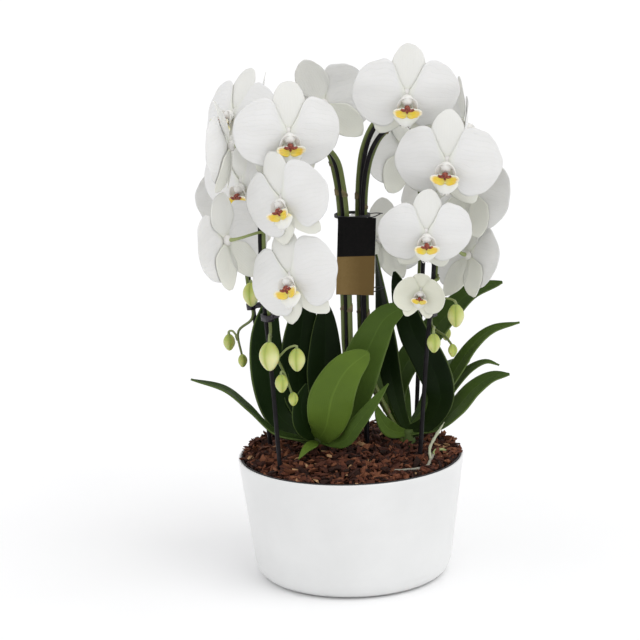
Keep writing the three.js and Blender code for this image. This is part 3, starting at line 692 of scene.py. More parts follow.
def petal_material():
    """White tepals: faint veins that fan out from the claw, a green-cream base that is partly the tepals'
    own colour and partly painted shade and painted yellow light round the lip, and a velvety grain.
    """
    material, tree = plain_material(
        "white_petal", (0.8, 0.8, 0.78), 0.55, Sheen_Weight=0.1, Specular_IOR_Level=0.25,
        Subsurface_Weight=0.2, Subsurface_Scale=0.002, Subsurface_Radius=(1.0, 0.95, 0.85),
    )
    across, along = uv_places(tree)
    ground = blend(tree, cloud(tree, 40), (0.815, 0.813, 0.805), (0.745, 0.742, 0.725))
    veins = stripes(tree, across, 13, 2.2, 50)
    veined = blend(tree, times(tree, veins, 0.2), ground, (0.66, 0.665, 0.63))
    creamy = blend(tree, tone_of(tree), veined, (0.74, 0.75, 0.5))
    # The tint at the claw is partly the tepal's own green-cream and partly painted shade and painted
    # yellow light from the lip.
    base = ramp(tree, along, [(0.0, 1), (0.04, 0.6), (0.14, 0)])
    claw_tint_and_shade = blend(tree, times(tree, base, 0.4), creamy, (0.76, 0.79, 0.6))
    folds = plus(tree, times(tree, cloud(tree, 900, 2), 0.3), cloud(tree, 80, 2))
    dress(tree, claw_tint_and_shade, plus(tree, folds, times(tree, veins, -0.8)), 0.35, 0.5)
    return material


def column_material():
    """The white column, flushed with purple where tone is high."""
    material, tree = plain_material(
        "column", (0.8, 0.78, 0.76), 0.5,
        Subsurface_Weight=0.15, Subsurface_Scale=0.002, Subsurface_Radius=(1.0, 0.95, 0.85),
    )
    flush = blend(tree, tone_of(tree), (0.78, 0.77, 0.74), (0.42, 0.24, 0.36))
    speckled = blend(tree, times(tree, cloud(tree, 700, 3), 0.3), flush, (0.76, 0.74, 0.68))
    dress(tree, speckled, cloud(tree, 900, 3), 0.15, 0.2)
    return material


def side_lobe_material():
    """Yellow side lobes, maroon-lined at the column, white at their tips and where tone is high."""
    material, tree = plain_material(
        "lip_side_lobe", (0.85, 0.68, 0.06), 0.45, Subsurface_Weight=0.15, Subsurface_Scale=0.003,
    )
    across, along = uv_places(tree)
    ground = ramp(tree, uneven(tree, along, cloud(tree, 300, 3), 0.12, middle=0), [
        (0.1, (0.6, 0.42, 0.08)),
        (0.28, (0.84, 0.68, 0.1)),
        (0.6, (0.86, 0.64, 0.035)),
        (0.86, (0.82, 0.56, 0.06)),
        (1.0, (0.84, 0.78, 0.56)),
    ])
    near = ramp(tree, along, [(0.0, 1), (0.3, 0.7), (0.6, 0)])
    lines = times(tree, stripes(tree, across, 7, 0.6, 300), near)
    lined = blend(tree, lines, ground, (0.35, 0.05, 0.05))
    paler = uneven(tree, tone_of(tree), cloud(tree, 160, 3), 0.4, middle=0.4)
    dress(tree, blend(tree, paler, lined, (0.84, 0.83, 0.76)), cloud(tree, 700, 3), 0.2, 0.25)
    return material


def middle_lobe_material():
    """A white middle lobe with a yellow root and a few fine lines."""
    material, tree = plain_material(
        "lip_middle_lobe", (0.84, 0.84, 0.74), 0.45,
        Subsurface_Weight=0.2, Subsurface_Scale=0.003, Subsurface_Radius=(1.0, 0.95, 0.8),
    )
    across, along = uv_places(tree)
    ground = ramp(tree, along, [
        (0.0, (0.8, 0.66, 0.16)),
        (0.26, (0.84, 0.79, 0.42)),
        (0.44, (0.82, 0.82, 0.74)),
        (1.0, (0.82, 0.82, 0.79)),
    ])
    near = ramp(tree, along, [(0.0, 0.8), (0.3, 0)])
    lines = times(tree, stripes(tree, across, 5, 0.5, 300), near)
    dress(tree, blend(tree, lines, ground, (0.5, 0.08, 0.08)), cloud(tree, 700, 3), 0.2, 0.25)
    return material


def grained_material(name, colour, roughness, grain, stops, relief):
    """A material whose colour and relief follow one grain. Relief is its strength and its depth."""
    material, tree = plain_material(name, colour, roughness)
    speckles = cloud(tree, *grain)
    dress(tree, ramp(tree, speckles, stops), speckles, *relief)
    return material


def callus_material():
    """The warty callus, orange with dark red spots."""
    stops = [(0.38, (0.09, 0.01, 0.014)), (0.52, (0.26, 0.035, 0.02)), (0.72, (0.5, 0.16, 0.04))]
    return grained_material("lip_callus", (0.6, 0.14, 0.04), 0.35, (900, 3), stops, (0.4, 0.4))


def bract_material():
    """Dry scales at the nodes of the stems."""
    stops = [(0.3, (0.09, 0.07, 0.03)), (0.7, (0.25, 0.2, 0.09))]
    return grained_material("bract", (0.3, 0.24, 0.12), 0.7, (200, 3), stops, (0.3, 0.3))


def moulded_material(name, dark, light, roughness):
    """Moulded plastic with a fine grain."""
    return grained_material(name, dark, roughness, (240, 4), [(0.35, dark), (0.7, light)], (0.12, 0.15))


def leaf_material():
    """A waxy leaf: tone goes from near black to fresh green, the near-black end partly painted shade on
    leaves deep in the plant, with a pale midrib line and long fine veins.
    """
    material, tree = plain_material("leaf_top", (0.03, 0.07, 0.015), 0.38, Specular_IOR_Level=0.08)
    across, along = uv_places(tree)
    # The darkest stops are partly painted shade for the leaves deep in the plant.
    ground = ramp(tree, uneven(tree, tone_of(tree), cloud(tree, 22), 0.3), [
        (0.0, (0.004, 0.01, 0.002)),
        (0.25, (0.012, 0.027, 0.006)),
        (0.5, (0.034, 0.062, 0.013)),
        (0.75, (0.07, 0.12, 0.019)),
        (0.95, (0.11, 0.175, 0.024)),
    ])
    base = ramp(tree, along, [(0.0, 1), (0.35, 0)])
    fresher = blend(tree, times(tree, base, 0.12), ground, (0.1, 0.17, 0.035))
    off_middle = figure(tree, "ABSOLUTE", figure(tree, "SUBTRACT", across, 0.5))
    midrib = ramp(tree, off_middle, [(0.0, 1), (0.012, 0.6), (0.035, 0)])
    ribbed = blend(tree, times(tree, midrib, 0.9), fresher, (1.4, 1.35, 1.5), "MULTIPLY")
    margin = ramp(tree, off_middle, [(0.47, 0), (0.49, 1)])
    edged = blend(tree, times(tree, margin, 0.4), ribbed, (0.17, 0.24, 0.07))
    veins = stripes(tree, across, 22, 0.3, 30)
    veined = blend(tree, times(tree, veins, 0.8), edged, (0.72, 0.78, 0.8), "MULTIPLY")
    relief = plus(tree, times(tree, veins, -0.5), times(tree, midrib, -1.0))
    rough = ramp(tree, cloud(tree, 60), [(0.3, 0.3), (0.7, 0.45)])
    dress(tree, veined, relief, 0.35, 0.5, roughness=rough)
    return material


def stem_material():
    """A green flower stem with a dusky flush, paler on the stalks of blooms and buds."""
    material, tree = plain_material("flower_stem", (0.13, 0.2, 0.05), 0.4)
    ground = ramp(tree, tone_of(tree), [
        (0.0, (0.035, 0.055, 0.014)),
        (0.5, (0.14, 0.19, 0.035)),
        (1.0, (0.4, 0.47, 0.2)),
    ])
    flushed = blend(tree, times(tree, cloud(tree, 35), 0.35), ground, (0.1, 0.075, 0.035))
    dress(tree, flushed, cloud(tree, 260, 3), 0.2, 0.3)
    return material


def bud_material():
    """Buds: tone goes from green, at the stalk and in the seams, to cream."""
    material, tree = plain_material(
        "bud", (0.5, 0.56, 0.25), 0.45, Subsurface_Weight=0.2, Subsurface_Scale=0.004,
    )
    ground = ramp(tree, uneven(tree, tone_of(tree), cloud(tree, 120), 0.2), [
        (0.0, (0.18, 0.25, 0.035)),
        (0.45, (0.42, 0.48, 0.1)),
        (1.0, (0.74, 0.73, 0.38)),
    ])
    dress(tree, ground, cloud(tree, 500, 3), 0.15, 0.2)
    return material


def wire_material():
    """Dark coated wire, with a dull sheen and small scuffs."""
    material, tree = plain_material(
        "coated_wire", (0.006, 0.006, 0.007), 0.4, Specular_IOR_Level=0.15,
    )
    scuffs = cloud(tree, 180, 5)
    colour = ramp(tree, scuffs, [(0.4, (0.005, 0.004, 0.005)), (0.75, (0.014, 0.012, 0.015))])
    rough = ramp(tree, scuffs, [(0.3, 0.3), (0.7, 0.5)])
    dress(tree, colour, scuffs, 0.15, 0.2, roughness=rough)
    return material


def pot_material():
    """A white satin glaze with faint mottling and the slightest waviness."""
    material, tree = plain_material(
        "pot_glaze", (0.8, 0.81, 0.8), 0.32, Coat_Weight=0.35, Coat_Roughness=0.2,
    )
    white = ramp(tree, cloud(tree, 14, 5), [(0.3, (0.73, 0.735, 0.73)), (0.7, (0.79, 0.795, 0.79))])
    dress(tree, white, cloud(tree, 45, 4), 0.05, 0.4)
    return material


def bark_material():
    """Bark chips: tone goes from near black through red-brown to tan, with a streaky grain."""
    material, tree = plain_material("bark_chip", (0.1, 0.035, 0.02), 0.85, Specular_IOR_Level=0.25)
    grain = cloud(tree, 420, 5, 0.7)
    ground = ramp(tree, uneven(tree, tone_of(tree), grain, 0.5), [
        (0.0, (0.012, 0.006, 0.004)),
        (0.3, (0.05, 0.016, 0.01)),
        (0.6, (0.125, 0.04, 0.02)),
        (0.82, (0.22, 0.085, 0.04)),
        (1.0, (0.5, 0.31, 0.16)),
    ])
    dress(tree, ground, grain, 0.7, 0.8)
    return material


def root_material():
    """An aerial root: a grey-white skin, greener where tone is high."""
    material, tree = plain_material("aerial_root_skin", (0.4, 0.42, 0.28), 0.7)
    ground = ramp(tree, uneven(tree, tone_of(tree), cloud(tree, 150), 0.4), [
        (0.0, (0.26, 0.24, 0.2)),
        (0.4, (0.46, 0.48, 0.34)),
        (1.0, (0.36, 0.44, 0.13)),
    ])
    dress(tree, ground, cloud(tree, 400, 4), 0.4, 0.4)
    return material


def tag_material():
    """A printed card: black above, gold below with a painted sheen across it, and a faint fibre."""
    material, tree = plain_material("tag_card", (0.3, 0.2, 0.1), 0.5, Specular_IOR_Level=0.08)
    parts = add_node(tree, "SeparateXYZ")
    tree.links.new(object_place(tree), parts.inputs[0])
    fibre = cloud(tree, 500, 4)
    # A painted sheen: a brighter band across the gold that stands for light on the foil.
    painted_sheen = plus(tree, times(tree, parts.outputs[0], 18.0), 0.5)
    gold = ramp(tree, uneven(tree, painted_sheen, fibre, 0.25, middle=0), [
        (0.0, (0.1, 0.06, 0.018)),
        (0.55, (0.22, 0.145, 0.055)),
        (0.9, (0.15, 0.095, 0.032)),
    ])
    black = ramp(tree, fibre, [(0.35, (0.003, 0.003, 0.003)), (0.7, (0.006, 0.005, 0.005))])
    upper = figure(tree, "GREATER_THAN", parts.outputs[2], TAG_SPLIT_HEIGHT * MM)
    dress(tree, blend(tree, upper, gold, black), fibre, 0.08, 0.1)
    return material


def floor_material():
    material, tree = plain_material("pale_floor", (0.95, 0.95, 0.95), 0.9, Specular_IOR_Level=0.1)
    dress(tree, ramp(tree, cloud(tree, 3, 2), [(0.3, 0.95), (0.7, 0.97)]))
    return material


# Hoops


def make_hoops(wire):
    for name, path in HOOP_PATHS.items():
        mesh = new_mesh()
        rod(mesh, path, lambda share: HOOP_RADIUS, 14, 150)
        finish_piece(f"wire_{name}", mesh, [wire], [f"hoop_{name}"])


# Blooms


def bloom_matrix(a_bloom):
    """From the bloom's own frame, x level, y up and z the way it faces, to its place."""
    yaw, pitch, lean = (math.radians(a_bloom[key]) for key in ("yaw", "pitch", "lean"))
    level = level_way(yaw)
    facing = level.cross(UP) * math.cos(pitch) + UP * math.sin(pitch)
    turned = axes(level, facing.cross(level), facing)
    own = Matrix.Rotation(lean, 4, "Z") @ Matrix.Scale(a_bloom["scale"], 4)
    return Matrix.Translation(a_bloom["place"]) @ turned @ own @ Matrix.Translation((0, -HUB_DROP, 0))


def tepal_surface(tepal, a_bloom, phase):
    """One tepal. All tepals of a bloom follow one bowed and waved field, so that they never cross."""
    angle = math.radians(tepal["angle"])
    bow = a_bloom["bow"]

    def surface(s, t):
        x, y = on_disc(s, t)
        u = (y + 1) / 2
        narrowing = mix(tepal["claw"], 1, ease(0, tepal["opens"], u)) * (1 - tepal["point"] * u**4)
        narrowing *= 1 + tepal["shoulder"] * ease(0.08, 0.22, u) * (1 - ease(0.3, 0.6, u))
        rim = math.atan2(x, y)
        nicks = 0.008 * math.sin(5 * rim + phase) + 0.003 * math.sin(13 * rim - phase)
        frill = 1 + nicks * math.hypot(x, y) ** 4
        along = tepal["start"] + tepal["length"] * u * frill
        across = x * tepal["width"] * narrowing / 2 * frill
        px = math.cos(angle) * along - math.sin(angle) * across
        py = math.sin(angle) * along + math.cos(angle) * across
        reach = math.hypot(px, py) / BLOOM_REACH
        around = math.atan2(py, px)
        drawn_in = 1 + CUP_DRAWS_IN * min(0, bow) * reach**2
        wave = math.sin(2 * around + phase) + 0.6 * math.sin(5 * around + 2 * phase)
        ruffle = 0.45 * math.sin(9 * around + 3 * phase) * reach**5
        pleats = tepal["pleat"] * math.cos(tepal["pleats"] * math.pi * x)
        pleats *= ease(0.05, 0.45, u) * (1 - 0.7 * u)
        depth = tepal["layer"] - bow * reach**2 + BLOOM_WAVE * wave * reach**3 + ruffle - pleats
        return Vector((px * drawn_in, py * drawn_in, depth))

    return surface


def make_bloom(a_bloom, index, petal, column):
    """The five tepals, the hub at their back, the column's hood and the cap at its tip."""
    name = a_bloom["name"]
    mesh = new_mesh()
    phase = 1.7 * index
    freshness = YOUNG_BLOOM_TONE if name == YOUNG_BLOOM else 0.0
    for tepal in TEPALS:
        tone = max(freshness, tepal["green"])
        surface = tepal_surface(tepal, a_bloom, phase)
        blade(mesh, surface, tepal["across"], tepal["along"], TEPAL_THICKNESS, tone, TEPAL)
    ball(mesh, (0, 0, -2.6), (5.4, 5.4, 4), tone=0.05, material=HOOD)
    ball(mesh, (0, -5, 5.6), (5.9, 5.6, 5.4), 24, 16, tone=0, material=HOOD)
    ball(mesh, (0, -8.6, 7), (3.6, 2.2, 2.6), tone=0.25, material=HOOD)
    bmesh.ops.transform(mesh, matrix=bloom_matrix(a_bloom), verts=mesh.verts)
    finish_piece(f"flower_{name}", mesh, [petal, column], [f"bloom_{name}"])


def side_lobe(side):
    """A side lobe of the lip: it spreads from under the column and its end curls up and forward."""

    def surface(s, t):
        x, y = on_disc(s, t)
        u = (y + 1) / 2
        height = x * side * 5.4 * (1 - 0.1 * u) * (1 - 0.08 * math.cos(9 * u))
        return Vector((
            side * (-2.5 + 16.8 * u),
            -16.4 + height + 2.2 * u * u,
            11.4 + 4.6 * u * u + 0.05 * height * height - 0.3 * math.cos(2.2 * height),
        ))

    return surface


def collar(side):
    """The erect white part of a side lobe, which arches over the column and flares forward."""

    def surface(s, t):
        x, y = on_disc(s, t)
        u = (y + 1) / 2
        turn = math.radians(mix(-28, 92, u))
        radius = 8.6 + 2.2 * x + 0.3 * math.cos(9 * u)
        return Vector((side * radius * math.cos(turn), -10.8 + radius * math.sin(turn), 8.4 + 2.8 * x))

    return surface


def middle_lobe(s, t):
    """The middle lobe: a narrow root, then broad, then pointed, and curved forward like a tongue."""
    x, y = on_disc(s, t)
    u = (y + 1) / 2
    width = 12.4 * mix(0.6, 1, ease(0, 0.36, u)) * (1 - 0.3 * ease(0.45, 1, u))
    cupped = -3.2 * x * x + 0.3 * math.cos(3 * math.pi * x) * (1 - u)
    return Vector((x * width, -13 - 18 * u, 9.6 + 8 * u - 6 * u * u + cupped))


def add_tendrils(mesh):
    """The two fine tendrils that curl forward from the tip of the middle lobe."""
    for side in (-1, 1):
        curl = Path([
            (0.9 * side, -30.2, 11.6),
            (2.2 * side, -31.4, 13.8),
            (4.2 * side, -29.6, 15.6),
            (4.7 * side, -27.2, 15.0),
        ])
        rod(mesh, curl, lambda share: mix(0.5, 0.22, share), 6, 12, tone=0, material=COLLAR)


def make_lip(a_bloom, lobes, tongue, callus, column):
    """On each side a lobe, its collar and a horn of the callus, and the tongue in the middle."""
    name = a_bloom["name"]
    mesh = new_mesh()
    for side in (-1, 1):
        lobe = blade(mesh, side_lobe(side), 14, 18, LOBE_THICKNESS, material=LOBE)
        tone_by(mesh, lobe, lambda vert: ease(-14, -10.8, vert.co.y))
        blade(mesh, collar(side), 8, 16, 0.8, tone=0, material=COLLAR)
        horn = Path([(1.4 * side, -12.4, 13), (3.8 * side, -12.8, 13.8), (6.4 * side, -11.6, 13.4)])
        rod(mesh, horn, lambda share: mix(2, 1.3, share), 10, 10, material=CALLUS)
    blade(mesh, middle_lobe, 18, 20, LOBE_THICKNESS, material=TONGUE)
    add_tendrils(mesh)
    ball(mesh, (0, -11.2, 12), (3, 2.8, 3.8), 14, 10, material=CALLUS)
    ball(mesh, (0, -14.6, 12.6), (1.5, 2.2, 1.4), 12, 8, material=CALLUS)
    bmesh.ops.transform(mesh, matrix=bloom_matrix(a_bloom), verts=mesh.verts)
    finish_piece(f"labellum_{name}", mesh, [lobes, tongue, callus, column], [f"lip_{name}"])


# Sprays: stems, their nodes, the stalks of the blooms and the buds


def out_of_arch(name, path, share):
    """The way away from the arch's inside, square to the stem."""
    outward, _ = hoop_ways(name)
    along = path.heading(share)
    way = outward * max(0, -along.z)
    way.z = along.dot(outward)
    return way.normalized()


def add_stalk(mesh, a_bloom):
    """The stalk of a bloom, which widens into the back of its hub."""
    matrix = bloom_matrix(a_bloom)
    facing = matrix.to_3x3().col[2].normalized()
    path = STEM_PATHS[a_bloom["stem"]]
    end = matrix @ Vector((0, 0, 0)) - facing * (HUB_DEPTH * a_bloom["scale"] - 0.5)
    out = out_of_arch(a_bloom["stem"], path, a_bloom["at"])
    start = path.at(a_bloom["at"]) + out
    straight = end - start
    leaving = (out * 2 + straight.normalized()).normalized()
    handle = 0.4 * straight.length
    stalk = bezier_path(start, start + leaving * handle * 0.75, end - facing * handle, end)

    def thick(share):
        return PEDICEL_RADIUS * (1 + 0.25 * ease(0.15, 0, share) + 0.45 * ease(0.7, 1, share))

    def paler(vert):
        return 0.55 + 0.45 * ease(0, 1, (vert.co - start).length / straight.length)

    tone_by(mesh, rod(mesh, stalk, thick, 10, 22, material=STEM), paler)


def add_bud(mesh, path, at, place, size):
    """A bud hanging from a short bent stalk, with three seams. The larger buds are paler."""
    place = Vector(place)
    top = place + UP * size * 1.2
    start = path.at(at)
    paleness = min(1, 0.15 + 0.08 * size)
    layer = mesh.verts.layers.float["tone"]
    for vert in ball(mesh, (0, 0, 0), (1, 1, 1), 54, 20, material=BUD):
        around, height = math.atan2(vert.co.y, vert.co.x), vert.co.z
        seam = abs(math.sin(1.5 * around + 0.3 * size)) ** 0.35
        pinch = 1 - 0.2 * ease(0, -1, height) - 0.08 * ease(0.3, 1, height)
        girth = size * pinch * (0.89 + 0.11 * seam)
        vert[layer] = paleness * (0.5 + 0.5 * ease(0.9, -0.2, height)) * (0.1 + 0.9 * seam)
        vert.co = place + Vector((vert.co.x * girth, vert.co.y * girth, height * size * 1.42))
    if at < 1:
        bend = top + UP * 7
        stalk = Path([start, start.lerp(bend, 0.6) + UP * 1.5, bend.lerp(top, 0.45), top])
        rod(mesh, stalk, lambda share: 1.15 + 0.5 * ease(0.75, 1, share), 10, 16, tone=0.7)
        knot = Path([start - UP * 2, start + (bend - start).normalized() * 4])
        rod(mesh, knot, lambda share: 2 - share, 8, 3, tone=0.3)


def add_bract(mesh, path, share, turn, length):
    """A dry scale that wraps a node of the stem and points along it."""
    heading = path.heading(share)
    side = heading.orthogonal().normalized()
    side.rotate(Matrix.Rotation(turn, 3, heading))
    across = heading.cross(side)
    foot = path.at(share)

    def surface(s, t):
        u = (t + 1) / 2
        angle = s * mix(2.5, 0.1, ease(0, 0.95, u))
        radius = STEM_RADIUS + 0.3 + 0.6 * u**3
        around = side * math.cos(angle) + across * math.sin(angle)
        return foot + heading * length * u + around * radius

    blade(mesh, surface, 12, 9, 0.4, material=BRACT)


def make_spray(name, materials):
    """A stem with its stalks, bracts and buds, from its foot in the bark to its hanging tip."""
    mesh = new_mesh()
    path = STEM_PATHS[name]
    rod(mesh, path, lambda share: mix(STEM_RADIUS, STEM_TIP_RADIUS, share**3), 12, 170, tone=0.4)
    for a_bloom in BLOOMS:
        if a_bloom["stem"] == name:
            add_stalk(mesh, a_bloom)
            add_bract(mesh, path, a_bloom["at"] - 0.004, 2.0, 5)
    for at, place, size in STEMS[name]["buds"]:
        add_bud(mesh, path, at, place, size)
    for k, share in enumerate(STEM_NODES):
        add_bract(mesh, path, share, 2.4 * k, 9)
    finish_piece(f"stem_{name}", mesh, materials, [f"spray_{name}"])


# Plants


def leaf_surface(a_leaf, crown):
    """A blade that is narrow at its base and round at its tip, with a channel along its midrib."""
    midrib = Path([(*crown, LEAF_BASE_HEIGHT), *a_leaf["through"]])
    faces = [Vector(way).normalized() for way in a_leaf["face"]]

    def surface(s, t):
        u = min(max((t + 1) / 2, 0), 1)
        forwards = midrib.heading(u)
        stage = min(int(u * (len(faces) - 1)), len(faces) - 2)
        face = faces[stage].lerp(faces[stage + 1], u * (len(faces) - 1) - stage)
        sideways = forwards.cross(face).normalized()
        upwards = sideways.cross(forwards)
        opening = LEAF_BASE_SHARE + (1 - LEAF_BASE_SHARE) * ease(0, 0.55, u)
        tip = mix(0.85, 0.5, ease(18, 50, a_leaf["width"]))
        width = a_leaf["width"] * max(0.06, opening * (1 - u**LEAF_TIP_BLUNTNESS) ** tip)
        across = s * width / 2
        channel = LEAF_KEEL * (math.hypot(across, 1.6) - 1.6)
        droop = -0.03 * abs(across) * s * s
        return midrib.at(u) + sideways * across + upwards * (channel + droop)

    return surface


def make_plant(side, top):
    plant = PLANTS[side]
    crown = plant["crown"]
    mesh = new_mesh()
    for a_leaf in plant["leaves"]:
        blade(mesh, leaf_surface(a_leaf, crown), 14, 44, LEAF_THICKNESS, tone=a_leaf["tone"])
    base = Vector((*crown, 0))
    trunk = Path([base + UP * CROWN_BOTTOM, base + UP * 130, base + UP * CROWN_TOP])
    # The crown is painted near black: painted shade at the base of the leaves.
    rod(mesh, trunk, lambda share: CROWN_RADIUS * (1 - 0.4 * ease(0.45, 1, share)), 28, 14, tone=0.05)
    finish_piece(f"leaves_{side}", mesh, [top], [f"plant_{side}"])


# Bark, liner and pot


def liner_inside_radius(height):
    rim = POT_RIM_RADIUS - POT_WALL - SEAT_GAP - LINER_WALL
    return mix(LINER_CORNER[0], rim, (height - LINER_CORNER[1]) / (LINER_HEIGHT - LINER_CORNER[1]))


def bark_height(radius):
    edge = liner_inside_radius(BARK_EDGE_HEIGHT)
    return BARK_EDGE_HEIGHT + BARK_CROWN_RISE * (1 - (radius / edge) ** 2)


def chip_shapes(draw):
    """A few ragged splinters, each a hull round points drawn in a unit box."""
    shapes = []
    for _ in range(CHIP_SHAPES):
        mesh = new_mesh()
        for _ in range(CHIP_POINTS):
            mesh.verts.new([draw.uniform(-0.5, 0.5) for _ in range(3)])
        hull = bmesh.ops.convex_hull(mesh, input=mesh.verts)
        inside = set(verts_in(hull["geom_interior"] + hull["geom_unused"]))
        bmesh.ops.delete(mesh, geom=list(inside), context="VERTS")
        bmesh.ops.recalc_face_normals(mesh, faces=mesh.faces)
        shape = bpy.data.meshes.new("chip_shape")
        mesh.to_mesh(shape)
        mesh.free()
        shapes.append(shape)
    return shapes


def chip_tone(draw):
    """Mostly red-brown, now and then a tan one."""
    return 0.95 if draw.random() < 0.018 else draw.uniform(0.05, 0.8)


def add_chips(mesh, count, draw):
    """Chips all over the mound, and a closer row against the rim, heaped at its sides and back."""
    shapes = chip_shapes(draw)
    edge = liner_inside_radius(BARK_EDGE_HEIGHT) - 3
    kept_clear = [(*plant["crown"], 9.5) for plant in PLANTS.values()]
    kept_clear += [(spot.x, spot.y, 4.5) for spot in (Path(LYING_ROOT).at(k / 10) for k in range(11))]
    for k in range(count):
        at_rim = k < count * RIM_CHIP_SHARE
        angle = draw.uniform(0, math.tau)
        heaped = ease(-0.75, -0.2, math.sin(angle))
        if at_rim:
            radius = draw.uniform(edge - 5, edge + 0.5 + 3 * heaped)
        else:
            radius = edge * math.sqrt(draw.random())
        x, y = radius * math.cos(angle), radius * math.sin(angle)
        if any(math.hypot(x - clear_x, y - clear_y) < reach for clear_x, clear_y, reach in kept_clear):
            continue
        length = draw.uniform(6, 14) if at_rim else draw.uniform(7, 20)
        size = (length, length * draw.uniform(0.28, 0.6), length * draw.uniform(0.18, 0.36))
        turned = (
            Matrix.Rotation(draw.uniform(0, math.tau), 4, "Z")
            @ Matrix.Rotation(draw.gauss(0, 0.38), 4, "Y")
            @ Matrix.Rotation(draw.gauss(0, 0.5), 4, "X")
        )
        height = bark_height(radius) + draw.uniform(-1.5, 3.2)
        if at_rim:
            height += 1.4 + 3.4 * heaped
        chip = draw.choice(shapes).copy()
        chip.transform(placed((x, y, height), size, turned))
        tones = chip.attributes["tone"].data
        tones.foreach_set("value", [chip_tone(draw)] * len(tones))
        mesh.from_mesh(chip)
        bpy.data.meshes.remove(chip)


def make_bark(bark):
    """The mound, uneven on top, with its chips."""
    edge = liner_inside_radius(BARK_EDGE_HEIGHT) - SEAT_GAP
    profile = [(0, BARK_FLOOR[1]), BARK_FLOOR, (LINER_CORNER[0] - 2, LINER_CORNER[1] + 3)]
    profile.append((edge - 1, BARK_EDGE_HEIGHT - 6))
    rings = 26
    for i in range(rings, -1, -1):
        radius = (edge - 2) * i / rings
        profile.append((radius, bark_height(radius) - 2))
    mesh = lathe(profile, 90)
    for vert in mesh.verts:
        if vert.co.z > BARK_EDGE_HEIGHT - 4:
            vert.co.z += 2.2 * noise.noise(vert.co * 0.12) + 1.2 * noise.noise(vert.co * 0.4)
    # The mound is painted near black: partly the dark of old bark and partly painted shade in the gaps
    # between the chips.
    paint(mesh, mesh.verts, 0.12)
    add_chips(mesh, CHIP_COUNT, random.Random(CHIP_SEED))
    finish_piece("bark_chips", mesh, [bark], ["bark"], smooth=False)


def make_liner(plastic):
    floor_radius, floor = LINER_FLOOR
    corner, corner_height = LINER_CORNER
    rim = liner_inside_radius(LINER_HEIGHT)
    profile = [
        (0, floor),
        (floor_radius + LINER_WALL, floor),
        (corner + LINER_WALL, corner_height),
        (rim + LINER_WALL, LINER_HEIGHT - LINER_LIP),
        (rim + LINER_WALL - 0.3, LINER_HEIGHT),
        (rim + 0.3, LINER_HEIGHT),
        (rim, LINER_HEIGHT - LINER_LIP),
        (corner, corner_height),
        (floor_radius, floor + LINER_WALL),
        (0, floor + LINER_WALL),
    ]
    finish_piece("inner_pot", lathe(profile, 96), [plastic], ["liner"])


def pot_outside_radius(height):
    return mix(POT_WALL_FOOT_RADIUS, POT_RIM_RADIUS, height / POT_HEIGHT)


def pot_inside_radius(height):
    return pot_outside_radius(height) - POT_WALL


def make_pot(glaze):
    """A bowl with a curved foot, a straight flaring wall and a rim that is round on top."""
    foot = Path([*POT_FOOT_CURVE, (pot_outside_radius(18), 0, 18)])
    profile = [(0, 0), (60, 0)]
    profile += [(foot.at(k / 9).x, foot.at(k / 9).z) for k in range(10)]
    profile += [(pot_outside_radius(height), height) for height in (40, 70, 100, 120)]
    round_off = POT_WALL / 2
    rim_height = POT_HEIGHT - round_off
    middle = pot_outside_radius(rim_height) - round_off
    for turn in (math.pi * k / 8 for k in range(9)):
        profile.append((middle + round_off * math.cos(turn), rim_height + round_off * math.sin(turn)))
    profile += [(pot_inside_radius(height), height) for height in (110, 60, 20)]
    corner = pot_inside_radius(POT_WALL)
    profile += [(corner - 4, POT_WALL + 6), (corner - 16, POT_WALL), (0, POT_WALL)]
    finish_piece("bowl", lathe(profile, 128), [glaze], ["pot"])


# Clips, ties, tag and aerial root


def make_clip(name, plastic):
    """A flat ring round a wire and its stem, with two finger tabs."""
    _, sideways = hoop_ways(name)
    along = HOOP_PATHS[name]
    share = along.share_at_height(CLIP_HEIGHTS[name])
    axis = along.heading(share)
    half = STEM_OFFSET / 2
    outer = CLIP_BORE + CLIP_WALL
    mesh = new_mesh()
    ring = bmesh.ops.create_circle(mesh, segments=40, radius=outer)["verts"]
    for vert in ring:
        vert.co.x += math.copysign(half, vert.co.x)
    grown = bmesh.ops.extrude_edge_only(mesh, edges=edges_of(ring))["geom"]
    bmesh.ops.translate(mesh, vec=UP * CLIP_LENGTH, verts=verts_in(grown))
    bmesh.ops.recalc_face_normals(mesh, faces=mesh.faces)
    bmesh.ops.solidify(mesh, geom=list(mesh.faces), thickness=CLIP_WALL)
    for place in (-half, half):
        shape = placed((place, -outer - 3.2, CLIP_LENGTH / 2), CLIP_TAB)
        tab = bmesh.ops.create_cube(mesh, size=1, matrix=shape)["verts"]
        bmesh.ops.bevel(
            mesh, geom=edges_of(tab), offset=0.9, affect="EDGES", segments=3, profile=0.5, material=-1,
        )
    turned = axes(sideways, -sideways.cross(axis), -axis)
    place = along.at(share) + sideways * half + axis * CLIP_LENGTH / 2
    bmesh.ops.transform(mesh, matrix=Matrix.Translation(place) @ turned, verts=mesh.verts)
    finish_piece(f"grip_{name}", mesh, [plastic], [f"clip_{name}"])


def make_tie(name, string):
    """String wound round the bundle, with two cut ends."""
    turn = TIES[name]["turn"]
    foot = Vector((*BUNDLE, TIES[name]["height"] - TIE_RISE / 2))
    winding = []
    for share in (k / TIE_STEPS for k in range(TIE_STEPS + 1)):
        out = level_way(math.radians(turn) + math.tau * TIE_TURNS * share)
        winding.append(foot + out * (TIE_RADIUS + STRING_RADIUS) + UP * TIE_RISE * share)
    mesh = new_mesh()
    rod(mesh, Path(winding), lambda share: STRING_RADIUS, 8, 150)
    for side in (0, 1):
        out = level_way(math.radians(turn + side * 14))
        start = foot + out * TIE_RADIUS + UP * TIE_RISE * side
        end = Path([start, start + out * 6 + UP * 0.8, start + out * 14 + UP * (4.5 - 4 * side)])
        rod(mesh, end, lambda share: STRING_RADIUS * 0.9, 8, 12)
    finish_piece(f"string_{name}", mesh, [string], [f"tie_{name}"])


